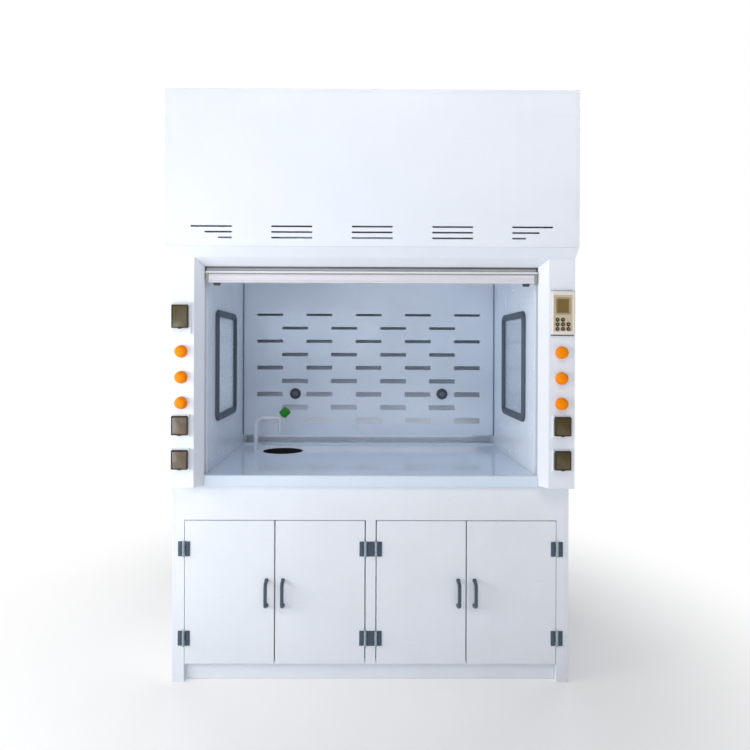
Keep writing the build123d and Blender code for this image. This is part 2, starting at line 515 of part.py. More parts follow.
for name, cx, cz, ch in COVERS:
    zt = cz + ch / 2
    with BuildPart() as cover:
        # shallow smoked tray hung from a barrel along its top edge
        front_rect(cx - COVER_W / 2, cx + COVER_W / 2, cz - ch / 2, zt - 3.6, FRAME_Y - 0.5, 14, 3)
        front_rect(cx - COVER_W / 2 + 2, cx + COVER_W / 2 - 2, cz - ch / 2 + 2, zt - 5.6, FRAME_Y + 1, 13.5, 2, Mode.SUBTRACT)
        front_rect(cx - 12, cx + 12, zt - 4.6, zt, PIVOT_Y + 1.5, 4)
        disc(Plane.YZ.offset(cx - COVER_W / 2), PIVOT_Y, zt, 3, COVER_W)
        disc(Plane.YZ.offset(cx - COVER_W / 2 - 3), PIVOT_Y, zt, 1.5, COVER_W + 6)
        # finger tab at the lower edge
        front_rect(cx - 7, cx + 7, cz - ch / 2 - 3, cz - ch / 2 + 1, FRAME_Y - 8, 4)
    save(cover, name)

with BuildPart() as breaker_toggle:
    tz = BREAKER_Z
    disc(Plane.YZ.offset(-DEV_X - 6), FRAME_Y + 5.0, tz, 5, 12)
    across([(FRAME_Y + 3, tz - 1), (FRAME_Y - 8, tz - 6), (FRAME_Y - 8, tz - 1), (FRAME_Y + 3, tz + 4)], -DEV_X - 5, -DEV_X + 5)
save(breaker_toggle, "breaker_toggle")

# --------------------------------------------------------------- controller
PANEL_Y = COL_Y - 16
KEYS = [("key_%d" % (i + 1), kx, kz) for i, (kx, kz) in enumerate(
    [(680.0, 1371.2), (700.0, 1371.2),
     (680.0, 1354.4), (700.0, 1354.4), (720.0, 1354.4),
     (680.0, 1337.6), (700.0, 1337.6), (720.0, 1337.6)])]
with BuildPart() as controller_housing:
    front_rect(661, 746, 1310, 1477, COL_Y, 16, 5)
    fillet(controller_housing.faces().sort_by(Axis.Y)[0].edges(), 3)
    front_rect(667.3, 735.3, 1323, 1465, COL_Y + 1, 20, 2, Mode.SUBTRACT)
save(controller_housing, "controller_housing")

with BuildPart() as controller_face:
    front_rect(667.8, 734.8, 1323.5, 1464.5, PANEL_Y + 4, 3, 2)
    # display window and the circuit box behind
    front_rect(677.8, 721.8, 1396, 1448, PANEL_Y + 2, 1.8, 2)
    front_rect(678.2, 721.4, 1396.4, 1447.6, PANEL_Y + 1.4, 1.6, 2, Mode.SUBTRACT)
    front_rect(671.8, 730.8, 1329, 1459, COL_Y + 12, 16)
    for _, kx, kz in KEYS:
        disc(facing(PANEL_Y + 12), kx, kz, 6.8, 14, Mode.SUBTRACT)
save(controller_face, "controller_face")

for key_name, kx, kz in KEYS:
    with BuildPart() as key:
        disc(facing(PANEL_Y + 8), kx, kz, 6.4, 9)
        fillet(key.faces().sort_by(Axis.Y)[0].edges(), 1.2)
    save(key, key_name)

# -------------------------------------------------------------- valve knobs
for side_name, s in (("left", -1), ("right", 1)):
    for i, kz in enumerate(KNOB_ZS):
        with BuildPart() as knob:
            disc(facing(COL_Y - 0.5), s * KNOB_X, kz, KNOB_R, 9)
            with BuildSketch(facing(COL_Y - 9.5)) as grip:
                with Locations((s * KNOB_X, kz)):
                    Circle(KNOB_R - 2.5)
                    with PolarLocations(KNOB_R + 1.5, 6, start_angle=30):
                        Circle(8, mode=Mode.SUBTRACT)
            extrude(amount=15, taper=4)
            fillet(knob.faces().sort_by(Axis.Y)[0].edges(), 2)
            disc(facing(COL_Y + 22), s * KNOB_X, kz, 4.5, 24)
        save(knob, "valve_knob_%s_%d" % (side_name, i + 1))

# ----------------------------------------------------- gas nozzles and water
with BuildPart() as gas_nozzles:
    for s in (-1, 1):
        with BuildSketch(Plane.XY.offset(1037.0)) as nozzle_half:
            with BuildLine():
                c = s * 366.0
                Polyline((c, BAFFLE_Y + SKIN + 12), (c + 8, BAFFLE_Y + SKIN + 12), (c + 8, BAFFLE_Y),
                         (c + 26.5, BAFFLE_Y), (c + 26.5, BAFFLE_Y - 5), (c + 24, BAFFLE_Y - 8), (c + 15, BAFFLE_Y - 9),
                         (c + 13, BAFFLE_Y - 30), (c + 8, BAFFLE_Y - 34), (c + 5, BAFFLE_Y - 36), (c + 5, BAFFLE_Y - 60),
                         (c, BAFFLE_Y - 60), close=True)
            make_face()
        revolve(axis=Axis((s * 366.0, 0, 1037.0), (0, 1, 0)))
        disc(facing(BAFFLE_Y - 20), s * 366.0, 1037.0, 2.6, 45, Mode.SUBTRACT)
save(gas_nozzles, "gas_nozzles")

with BuildPart() as tap_base:
    disc(Plane.XY.offset(TOP_Z), TAP_X, TAP_Y, 14, 7)
    fillet(tap_base.faces().sort_by(Axis.Z)[-1].edges(), 2.5)
    disc(Plane.XY.offset(720), TAP_X, TAP_Y, 8.8, 65.1)
    disc(Plane.XY.offset(760 - 12), TAP_X, TAP_Y, 16, 16.8)
    disc(Plane.XY.offset(TOP_Z - 20), TAP_X, TAP_Y, 5.05, 40, Mode.SUBTRACT)
save(tap_base, "tap_base")

NX = TAP_X + TAP_REACH
tilt = Plane((NX, TAP_Y, TAP_ARM_Z), x_dir=(0, 1, 0), z_dir=(cos(radians(TAP_TILT)), 0, sin(radians(TAP_TILT))))

with BuildPart() as tap_spout:
    # riser, wide bend and arm, then the valve head and its drop nozzle
    with BuildLine() as tube_path:
        FilletPolyline((TAP_X, TAP_Y, TOP_Z + 7.4), (TAP_X, TAP_Y, TAP_ARM_Z), (NX, TAP_Y, TAP_ARM_Z), radius=36)
    with BuildSketch(Plane.XY.offset(TOP_Z + 7.4)) as tube_ring:
        with Locations((TAP_X, TAP_Y)):
            Circle(TAP_R)
    sweep()
    disc(Plane.XY.offset(TOP_Z - 12), TAP_X, TAP_Y, 5.0, 20)
    with BuildSketch(Plane.XZ.offset(-TAP_Y)) as nozzle_profile:
        with BuildLine():
            Polyline((NX, TAP_ARM_Z + 9), (NX + 8, TAP_ARM_Z + 9), (NX + 10.5, TAP_ARM_Z + 6), (NX + 10.5, TAP_ARM_Z - 12),
                     (NX + 8.5, TAP_ARM_Z - 17), (NX + 4.4, TAP_ARM_Z - 66), (NX, TAP_ARM_Z - 66), close=True)
        make_face()
    revolve(axis=Axis((NX, TAP_Y, 0), (0, 0, 1)))
    disc(tilt, 0, 0, 7.5, 15)
    disc(Plane.XY.offset(TAP_ARM_Z - 67), NX, TAP_Y, 2.6, 40, Mode.SUBTRACT)
    disc(tilt.offset(4), 0, 0, 3.55, 14, Mode.SUBTRACT)
save(tap_spout, "tap_spout")

with BuildPart() as tap_lever:
    # fluted valve knob on a spindle that rises to the right
    disc(tilt.offset(5), 0, 0, 3.5, 14)
    disc(tilt.offset(15.4), 0, 0, 8, 4)
    with BuildSketch(tilt.offset(18)) as knob_head:
        Circle(22)
        with PolarLocations(25.9, 6, start_angle=0):
            Circle(7, mode=Mode.SUBTRACT)
    extrude(amount=39)
    fillet(tap_lever.faces().sort_by(Axis((NX, TAP_Y, TAP_ARM_Z), tuple(tilt.z_dir)))[-1].edges(), 2)
save(tap_lever, "tap_lever")
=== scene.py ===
"""Studio scene of the bench fume hood: welded polypropylene sheet, slotted baffle, twin control columns."""
import math

import bmesh
import bpy
from mathutils import Matrix, Vector


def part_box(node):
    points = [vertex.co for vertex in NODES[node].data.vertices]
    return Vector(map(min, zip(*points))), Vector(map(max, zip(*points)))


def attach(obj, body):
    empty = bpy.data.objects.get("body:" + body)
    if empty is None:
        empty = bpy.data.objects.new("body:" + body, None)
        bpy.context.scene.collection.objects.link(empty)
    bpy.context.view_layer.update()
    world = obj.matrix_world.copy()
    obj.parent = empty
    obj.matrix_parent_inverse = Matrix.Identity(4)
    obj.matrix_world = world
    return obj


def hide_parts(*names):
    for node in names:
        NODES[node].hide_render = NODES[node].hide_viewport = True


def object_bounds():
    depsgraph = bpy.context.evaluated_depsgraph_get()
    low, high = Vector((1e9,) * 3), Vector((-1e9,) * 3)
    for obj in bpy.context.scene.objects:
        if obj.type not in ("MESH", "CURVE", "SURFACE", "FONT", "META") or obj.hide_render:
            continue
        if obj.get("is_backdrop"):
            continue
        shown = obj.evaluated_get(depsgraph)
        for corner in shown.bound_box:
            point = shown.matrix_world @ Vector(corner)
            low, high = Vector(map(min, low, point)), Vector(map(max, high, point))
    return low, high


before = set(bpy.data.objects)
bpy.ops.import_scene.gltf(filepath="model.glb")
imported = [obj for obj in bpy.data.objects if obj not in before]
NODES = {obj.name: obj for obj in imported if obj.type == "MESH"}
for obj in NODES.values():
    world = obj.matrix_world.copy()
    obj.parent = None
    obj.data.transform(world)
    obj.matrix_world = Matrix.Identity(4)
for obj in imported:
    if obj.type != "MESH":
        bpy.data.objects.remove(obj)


def plain_bounds():
    """The whole object's box as plain numbers."""
    def flat(x):
        if isinstance(x, (int, float)):
            return float(x)
        if isinstance(x, dict):
            return {k: flat(v) for k, v in x.items()}
        return [flat(v) for v in list(x)]
    return flat(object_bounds())


CAD_BOX = plain_bounds()

# ------------------------------------------------------------------ camera
LOC = Vector((-0.04035, -2.3561, 1.26354))
YAW, PITCH, ROLL = 0.00472, -0.00017, 0.0035
f_dir = Vector((math.sin(YAW) * math.cos(PITCH), math.cos(YAW) * math.cos(PITCH), math.sin(PITCH)))
r_dir = Vector((math.cos(YAW), -math.sin(YAW), 0.0))
u_dir = r_dir.cross(f_dir)
r2 = math.cos(ROLL) * r_dir + math.sin(ROLL) * u_dir
u2 = -math.sin(ROLL) * r_dir + math.cos(ROLL) * u_dir
cam_data = bpy.data.cameras.new("camera")
cam_data.sensor_width = 36.0
cam_data.lens = 534.417 / 750.0 * 36.0
cam_data.shift_x = 0.5 - 363.288 / 750.0
cam_data.shift_y = 348.535 / 750.0 - 0.5
cam_data.clip_end = 60.0
cam = bpy.data.objects.new("camera", cam_data)
bpy.context.scene.collection.objects.link(cam)
cam.matrix_world = Matrix((
    (r2.x, u2.x, -f_dir.x, LOC.x),
    (r2.y, u2.y, -f_dir.y, LOC.y),
    (r2.z, u2.z, -f_dir.z, LOC.z),
    (0, 0, 0, 1)))
bpy.context.scene.camera = cam

# ------------------------------------------------------------------ light
scene = bpy.context.scene
scene.view_settings.view_transform = "Standard"
scene.view_settings.look = "None"
world = bpy.data.worlds.new("studio")
scene.world = world
world.use_nodes = True
wn = world.node_tree
wn.nodes.clear()
w_out = wn.nodes.new("ShaderNodeOutputWorld")
w_mix = wn.nodes.new("ShaderNodeMixShader")
w_lit = wn.nodes.new("ShaderNodeBackground")
w_seen = wn.nodes.new("ShaderNodeBackground")
w_path = wn.nodes.new("ShaderNodeLightPath")
w_lit.inputs["Color"].default_value = (0.93, 0.965, 1.0, 1)
w_lit.inputs["Strength"].default_value = 0.05
w_seen.inputs["Color"].default_value = (1, 1, 1, 1)
w_seen.inputs["Strength"].default_value = 1.0
wn.links.new(w_path.outputs["Is Camera Ray"], w_mix.inputs["Fac"])
w_thru = wn.nodes.new("ShaderNodeBackground")
w_thru.inputs["Color"].default_value = (0.95, 0.97, 1.0, 1)
w_thru.inputs["Strength"].default_value = 0.62
w_mix0 = wn.nodes.new("ShaderNodeMixShader")
wn.links.new(w_path.outputs["Is Transmission Ray"], w_mix0.inputs["Fac"])
wn.links.new(w_lit.outputs[0], w_mix0.inputs[1])
wn.links.new(w_thru.outputs[0], w_mix0.inputs[2])
wn.links.new(w_mix0.outputs[0], w_mix.inputs[1])
wn.links.new(w_seen.outputs[0], w_mix.inputs[2])
wn.links.new(w_mix.outputs[0], w_out.inputs["Surface"])


def area(name, loc, aim, size, power, colour=(1, 1, 1)):
    """A soft rectangular lamp at loc, facing aim."""
    data = bpy.data.lights.new(name, "AREA")
    data.shape = "RECTANGLE"
    data.size, data.size_y = size
    data.energy = power
    data.color = colour
    lamp = bpy.data.objects.new(name, data)
    scene.collection.objects.link(lamp)
    lamp.location = loc
    lamp.rotation_euler = (Vector(aim) - Vector(loc)).to_track_quat("-Z", "Y").to_euler()
    return lamp


area("front_cool", (-0.8, -4.0, 1.9), (0.0, 0.0, 1.35), (2.2, 1.4), 19.0, (0.72, 0.84, 1.0))
top = area("front_top", (0.0, -2.6, 3.6), (0.0, -0.3, 1.3), (2.6, 1.2), 36.0, (1.0, 0.975, 0.96))
top.visible_glossy = False
area("side_left", (-3.4, -1.2, 1.5), (0.3, -0.1, 1.25), (1.4, 1.4), 66.0, (1.0, 0.97, 0.91))
area("high_right", (1.8, -3.0, 2.9), (0.0, -0.3, 1.5), (1.2, 1.2), 9.0, (0.88, 0.88, 1.0))
roof = area("roof_fill", (0.0, 0.35, 4.3), (0.0, 0.15, 2.2), (1.0, 0.6), 15.0, (0.95, 0.97, 1.0))
roof.visible_camera = False
roof.visible_glossy = False
area("left_near", (-1.7, -1.5, 0.9), (-0.5, -0.33, 0.55), (0.8, 0.8), 10.5, (0.93, 0.97, 1.0))
plenum = area("plenum", (0.0, 0.37, 0.80), (0.0, 0.37, 2.0), (1.1, 0.05), 0.3, (1.0, 0.95, 0.90))
plenum.visible_camera = False
plenum.visible_glossy = False
plenum.visible_transmission = False
area("back_left", (-2.6, 3.0, 2.3), (0.0, 0.3, 1.2), (2.0, 2.0), 46.0, (0.95, 0.97, 1.0))
area("back_right", (2.8, 2.6, 2.0), (0.1, 0.3, 1.1), (2.0, 2.0), 40.0, (0.97, 0.98, 1.0))


# ------------------------------------------------------------------ materials
class Net:
    """A small helper round one material's node tree."""

    def __init__(self, name):
        self.m = bpy.data.materials.new(name)
        self.m.use_nodes = True
        self.t = self.m.node_tree
        self.t.nodes.clear()
        self.out = self.t.nodes.new("ShaderNodeOutputMaterial")
        self.b = self.t.nodes.new("ShaderNodeBsdfPrincipled")
        self.t.links.new(self.b.outputs[0], self.out.inputs["Surface"])
        self.tc = self.t.nodes.new("ShaderNodeTexCoord")

    def n(self, kind, **inputs):
        node = self.t.nodes.new(kind)
        for k, v in inputs.items():
            key = k.replace("_", " ")
            if key in node.inputs:
                node.inputs[key].default_value = v
            else:
                setattr(node, k, v)
        return node

    def link(self, a, b):
        self.t.links.new(a, b)

    def coords(self, scale=(1, 1, 1), rot=(0, 0, 0)):
        mp = self.n("ShaderNodeMapping")
        mp.inputs["Scale"].default_value = scale
        mp.inputs["Rotation"].default_value = rot
        self.link(self.tc.outputs["Object"], mp.inputs["Vector"])
        return mp.outputs["Vector"]

    def noise(self, scale, detail=3.0, rough=0.5, vec=None, distortion=0.0):
        nz = self.n("ShaderNodeTexNoise")
        nz.inputs["Scale"].default_value = scale
        nz.inputs["Detail"].default_value = detail
        nz.inputs["Roughness"].default_value = rough
        nz.inputs["Distortion"].default_value = distortion
        self.link(vec if vec is not None else self.tc.outputs["Object"], nz.inputs["Vector"])
        return nz.outputs["Fac"]

    def rng(self, src, a, b, c, d, smooth=False):
        mr = self.n("ShaderNodeMapRange")
        mr.clamp = True
        if smooth:
            mr.interpolation_type = "SMOOTHSTEP"
        mr.inputs["From Min"].default_value = a
        mr.inputs["From Max"].default_value = b
        mr.inputs["To Min"].default_value = c
        mr.inputs["To Max"].default_value = d
        self.link(src, mr.inputs["Value"])
        return mr.outputs["Result"]

    def mixc(self, fac, a, b, mode="MIX"):
        mx = self.n("ShaderNodeMix")
        mx.data_type = "RGBA"
        mx.blend_type = mode
        mx.clamp_result = False
        if isinstance(fac, (int, float)):
            mx.inputs[0].default_value = fac
        else:
            self.link(fac, mx.inputs[0])
        for val, sock in ((a, mx.inputs[6]), (b, mx.inputs[7])):
            if isinstance(val, (tuple, list)):
                sock.default_value = (*val[:3], 1.0)
            else:
                self.link(val, sock)
        return mx.outputs[2]

    def math(self, op, a, b=None, clamp=False):
        md = self.n("ShaderNodeMath")
        md.operation = op
        md.use_clamp = clamp
        for val, sock in ((a, md.inputs[0]), (b, md.inputs[1])):
            if val is None:
                continue
            if isinstance(val, (int, float)):
                sock.default_value = val
            else:
                self.link(val, sock)
        return md.outputs[0]


def shade(base, k):
    return tuple(max(0.0, min(1.0, c * k)) for c in base)


def surface(name, base, rough=0.4, tone=0.035, tone_scale=2.2, warm=None, rvar=0.05, grain=0.00002, grain_scale=650.0,
            wave=0.0, wave_scale=9.0, edge=0.0, edge_wear_highlight_tint=None, edge_wear_highlight_amt=0.6, scuff=0.0, metallic=0.0, spec=0.5,
            coat=0.0, coat_rough=0.08, ior=1.49, brushed=None, subsurface=0.0, alpha=None, trans=0.0, streak=0.0):
    """One procedural finish: drifting tone, fine grain, slow waviness, worn edges that are also painted lighter as a
    painted highlight, and faint scuffs.
    """
    k = Net(name)
    b = k.b
    b.inputs["Metallic"].default_value = metallic
    b.inputs["IOR"].default_value = ior
    b.inputs["Specular IOR Level"].default_value = spec
    b.inputs["Coat Weight"].default_value = coat
    b.inputs["Coat Roughness"].default_value = coat_rough
    if subsurface:
        b.inputs["Subsurface Weight"].default_value = subsurface
        b.inputs["Subsurface Radius"].default_value = (0.006, 0.006, 0.006)
        b.inputs["Subsurface Scale"].default_value = 0.6
    if trans:
        b.inputs["Transmission Weight"].default_value = trans
    if alpha is not None:
        b.inputs["Alpha"].default_value = alpha
    slow = k.noise(tone_scale, 3.0, 0.55)
    fac = k.rng(slow, 0.32, 0.68, 0.0, 1.0)
    lo, hi = shade(base, 1 - tone), shade(base, 1 + tone * 0.6)
    if warm is not None:
        lo = tuple(0.6 * a + 0.4 * w for a, w in zip(lo, warm))
    col = k.mixc(fac, lo, hi)
    mid = k.noise(38.0, 4.0, 0.6)
    col = k.mixc(k.rng(mid, 0.35, 0.75, 0.0, tone * 1.4), col, shade(base, 0.8))
    rgh = k.rng(k.noise(14.0, 5.0, 0.6), 0.3, 0.7, max(0.02, rough - rvar), rough + rvar)
    if streak:
        st = k.noise(3.0, 4.0, 0.6, k.coords((1.0, 1.0, 0.16)))
        st2 = k.noise(26.0, 3.0, 0.6, k.coords((1.0, 1.0, 0.05)))
        sm = k.math("MULTIPLY", k.rng(st, 0.5, 0.72, 0.0, 1.0), k.rng(st2, 0.46, 0.66, 0.0, 1.0))
        col = k.mixc(k.math("MULTIPLY", sm, streak), col, shade(base, 0.72))
        rgh = k.math("ADD", rgh, k.math("MULTIPLY", sm, 0.10))
    if scuff:
        s1 = k.noise(9.0, 2.0, 0.5, k.coords((1.0, 1.0, 14.0), (0.5, 0.2, 0.3)))
        s2 = k.noise(60.0, 2.0, 0.5, k.coords((6.0, 1.0, 0.6), (0.1, 0.5, 0.9)))
        sc = k.math("MULTIPLY", k.rng(s1, 0.60, 0.66, 0.0, 1.0), k.rng(s2, 0.56, 0.62, 0.0, 1.0))
        col = k.mixc(k.math("MULTIPLY", sc, scuff), col, shade(base, 0.62))
        rgh = k.math("ADD", rgh, k.math("MULTIPLY", sc, 0.12))
    normal = None
    # Edges: real wear (rougher, uneven) plus a painted highlight, the edge colour mixed towards a lighter tint.
    if edge:
        bv = k.n("ShaderNodeBevel")
        bv.samples = 4
        bv.inputs["Radius"].default_value = edge
        geo = k.n("ShaderNodeNewGeometry")
        dot = k.n("ShaderNodeVectorMath")
        dot.operation = "DOT_PRODUCT"
        k.link(bv.outputs["Normal"], dot.inputs[0])
        k.link(geo.outputs["Normal"], dot.inputs[1])
        em = k.rng(dot.outputs["Value"], 0.80, 0.995, 1.0, 0.0)
        edge_wear_and_highlight = k.math("MULTIPLY", em, k.rng(k.noise(45.0, 4.0, 0.65), 0.35, 0.62, 0.25, 1.0))
        col = k.mixc(k.math("MULTIPLY", edge_wear_and_highlight, edge_wear_highlight_amt), col, edge_wear_highlight_tint or shade(base, 1.25))
        rgh = k.math("ADD", rgh, k.math("MULTIPLY", edge_wear_and_highlight, 0.08))
        normal = bv.outputs["Normal"]
    if metallic and brushed:
        br = k.noise(brushed[0], 2.0, 0.5, k.coords(brushed[1]))
        rgh = k.math("ADD", rgh, k.rng(br, 0.3, 0.7, -0.06, 0.08))
    fine = k.noise(grain_scale, 2.0, 0.55)
    bump = k.n("ShaderNodeBump")
    bump.inputs["Strength"].default_value = 1.0
    bump.inputs["Distance"].default_value = grain
    k.link(fine, bump.inputs["Height"])
    last = bump
    if wave:
        b2 = k.n("ShaderNodeBump")
        b2.inputs["Strength"].default_value = 1.0
        b2.inputs["Distance"].default_value = wave
        k.link(k.noise(wave_scale, 2.0, 0.4), b2.inputs["Height"])
        k.link(b2.outputs["Normal"], bump.inputs["Normal"])
        last = b2
    if normal is not None:
        k.link(normal, last.inputs["Normal"])
    k.link(bump.outputs["Normal"], b.inputs["Normal"])
    k.link(col, b.inputs["Base Color"])
    k.link(k.math("MAXIMUM", rgh, 0.02), b.inputs["Roughness"])
    return k.m


def clear(name, tint, rough=0.03, ior=1.49, haze=0.0, smear=0.05, coat=0.0):
    """A clear or tinted sheet: transmission with faint smears in its gloss."""
    k = Net(name)
    b = k.b
    b.inputs["Transmission Weight"].default_value = 1.0
    b.inputs["IOR"].default_value = ior
    b.inputs["Specular IOR Level"].default_value = 0.5
    b.inputs["Coat Weight"].default_value = coat
    nz = k.noise(4.0, 4.0, 0.6, k.coords((1, 1, 0.5)))
    k.link(k.mixc(k.rng(nz, 0.35, 0.7, 0.0, 1.0), tint, shade(tint, 0.94)), b.inputs["Base Color"])
    k.link(k.rng(k.noise(11.0, 5.0, 0.6), 0.42, 0.72, rough, rough + smear), b.inputs["Roughness"])
    bump = k.n("ShaderNodeBump")
    bump.inputs["Strength"].default_value = 1.0
    bump.inputs["Distance"].default_value = 0.00002
    k.link(k.noise(7.0, 2.0, 0.4), bump.inputs["Height"])
    k.link(bump.outputs["Normal"], b.inputs["Normal"])
    return k.m


PP = (0.80, 0.835, 0.905)
M = {}
M["shell_white"] = surface("shell_white", PP, 0.36, tone=0.03, wave=0.0006, wave_scale=3.5, edge=0.0022,
                           edge_wear_highlight_tint=(0.90, 0.92, 0.96), edge_wear_highlight_amt=0.7, scuff=0.10, grain=0.000012, streak=0.05)
M["cabinet_white"] = surface("cabinet_white", (0.80, 0.83, 0.895), 0.38, tone=0.04, wave=0.0006, wave_scale=4.0,
                             edge=0.002, edge_wear_highlight_tint=(0.90, 0.92, 0.96), edge_wear_highlight_amt=0.7, scuff=0.16, grain=0.000014, streak=0.08)
M["chamber_white"] = surface("chamber_white", (0.80, 0.87, 0.97), 0.20, tone=0.05, wave=0.00018, wave_scale=5.0,
                             edge=0.0016, edge_wear_highlight_tint=(0.82, 0.88, 0.96), edge_wear_highlight_amt=0.6, scuff=0.08, grain=0.000008,
                             coat=0.3, coat_rough=0.1, streak=0.08)
M["worktop_white"] = surface("worktop_white", (0.67, 0.77, 0.89), 0.10, tone=0.05, wave=0.0003, wave_scale=4.0,
                             edge=0.0, scuff=0.10, grain=0.000004,
                             coat=0.4, coat_rough=0.05, rvar=0.03)
M["sink_black"] = surface("sink_black", (0.025, 0.024, 0.022), 0.30, tone=0.2, edge=0.001, edge_wear_highlight_tint=(0.09, 0.09, 0.09), grain=0.00003)
M["gasket_grey"] = surface("gasket_grey", (0.062, 0.083, 0.115), 0.42, tone=0.12, edge=0.0012, edge_wear_highlight_tint=(0.13, 0.16, 0.21), grain=0.00003)
M["clear_glass"] = clear("clear_glass", (0.86, 0.93, 0.98))
M["window_pane"] = surface("window_pane", (0.72, 0.80, 0.93), 0.05, tone=0.03, grain=0.000002, alpha=0.36, coat=0.3, coat_rough=0.03)
M["lamp_white"] = surface("lamp_white", (0.82, 0.84, 0.88), 0.45, tone=0.03, grain=0.00004, subsurface=0.2)
M["duct_grey"] = surface("duct_grey", (0.72, 0.75, 0.81), 0.40, tone=0.05, edge=0.0015, edge_wear_highlight_tint=(0.84, 0.86, 0.9), grain=0.00002, wave=0.0004)
M["track_aluminium"] = surface("track_aluminium", (0.74, 0.765, 0.81), 0.34, tone=0.04, edge=0.0006, edge_wear_highlight_tint=(0.82, 0.84, 0.88), grain=0.00001)
M["rail_white"] = surface("rail_white", (0.66, 0.64, 0.69), 0.18, tone=0.03, edge=0.001, edge_wear_highlight_tint=(0.72, 0.71, 0.75), grain=0.000006, coat=0.4)
M["cable_steel"] = surface("cable_steel", (0.56, 0.57, 0.59), 0.28, tone=0.08, metallic=1.0, grain=0.00004, grain_scale=1400)
M["weight_iron"] = surface("weight_iron", (0.10, 0.10, 0.105), 0.55, tone=0.2, metallic=0.6, edge=0.0015, edge_wear_highlight_tint=(0.28, 0.27, 0.26), grain=0.0001, grain_scale=400)
M["pulley_nylon"] = surface("pulley_nylon", (0.70, 0.69, 0.64), 0.42, tone=0.05, edge=0.0008, grain=0.00002)
M["device_white"] = surface("device_white", (0.80, 0.82, 0.87), 0.34, tone=0.03, edge=0.0008, edge_wear_highlight_tint=(0.9, 0.92, 0.95), grain=0.00002, grain_scale=1800)
M["device_dark"] = surface("device_dark", (0.35, 0.33, 0.30), 0.40, tone=0.08, edge=0.0006, edge_wear_highlight_tint=(0.45, 0.43, 0.40), grain=0.00003, grain_scale=1800)
M["cover_smoke"] = clear("cover_smoke", (0.46, 0.40, 0.30), rough=0.06, smear=0.08, coat=0.3)
M["controller_silver"] = surface("controller_silver", (0.78, 0.72, 0.68), 0.34, tone=0.04, edge=0.0008, edge_wear_highlight_tint=(0.8, 0.76, 0.72), grain=0.00002, grain_scale=2000)
M["controller_tan"] = surface("controller_tan", (0.60, 0.52, 0.36), 0.30, tone=0.05, edge=0.0005, edge_wear_highlight_tint=(0.6, 0.52, 0.4), grain=0.00002, grain_scale=2400, coat=0.3)
M["key_dark"] = surface("key_dark", (0.040, 0.028, 0.010), 0.42, tone=0.12, edge=0.0005, edge_wear_highlight_tint=(0.12, 0.09, 0.04), grain=0.00002, grain_scale=2400)
M["knob_orange"] = surface("knob_orange", (0.93, 0.26, 0.0), 0.48, tone=0.05, edge=0.0008, edge_wear_highlight_tint=(1.0, 0.38, 0.02), grain=0.00002, grain_scale=2200, spec=0.12)
M["nozzle_grey"] = surface("nozzle_grey", (0.07, 0.08, 0.11), 0.38, tone=0.12, edge=0.0008, edge_wear_highlight_tint=(0.15, 0.17, 0.2), grain=0.00002)
M["tap_white"] = surface("tap_white", (0.74, 0.78, 0.87), 0.22, tone=0.03, edge=0.0006, grain=0.00001, coat=0.4)
M["lever_green"] = surface("lever_green", (0.022, 0.27, 0.014), 0.36, tone=0.10, edge=0.0006, edge_wear_highlight_tint=(0.03, 0.27, 0.03), grain=0.00002, spec=0.25)
M["lever_cap"] = surface("lever_cap", (0.03, 0.30, 0.02), 0.32, tone=0.06, edge=0.0004, edge_wear_highlight_tint=(0.08, 0.4, 0.06), grain=0.00002, spec=0.3)
M["holder_brown"] = surface("holder_brown", (0.17, 0.155, 0.14), 0.50, tone=0.25, tone_scale=5.0, edge=0.0004, grain=0.00004, grain_scale=900)
M["wiper_grey"] = surface("wiper_grey", (0.44, 0.44, 0.48), 0.60, tone=0.20, tone_scale=4.0, edge=0.0, grain=0.0001, grain_scale=700)
M["seal_olive"] = surface("seal_olive", (0.42, 0.44, 0.28), 0.55, tone=0.08, edge=0.0005, grain=0.00003, grain_scale=900)
M["hinge_slate"] = surface("hinge_slate", (0.060, 0.090, 0.125), 0.42, tone=0.12, edge=0.0010, edge_wear_highlight_tint=(0.14, 0.18, 0.23), grain=0.00003, grain_scale=1500)

M["cover_bezel"] = surface("cover_bezel", (0.030, 0.023, 0.012), 0.30, tone=0.12, edge=0.0005, edge_wear_highlight_tint=(0.08, 0.065, 0.045), grain=0.00002, grain_scale=1800, spec=0.3)
# Socket panes: the left ones lighter and the right ones darker, lit and shaded copies of one smoked plastic (painted
# highlight haze on the left, painted shade on the right).
M["cover_pane_left"] = surface("cover_pane_left", (0.185, 0.137, 0.096), 0.26, tone=0.08, grain=0.000004, alpha=0.72, coat=0.2, coat_rough=0.05)
M["cover_pane_right"] = surface("cover_pane_right", (0.105, 0.073, 0.027), 0.26, tone=0.08, grain=0.000004, alpha=0.76, coat=0.2, coat_rough=0.05)
M["cover_pane_breaker"] = surface("cover_pane_breaker", (0.118, 0.092, 0.038), 0.26, tone=0.08, grain=0.000004, alpha=0.72, coat=0.2, coat_rough=0.05)
M["device_trim"] = surface("device_trim", (0.70, 0.67, 0.62), 0.36, tone=0.05, edge=0.0005, grain=0.00002, grain_scale=1800)
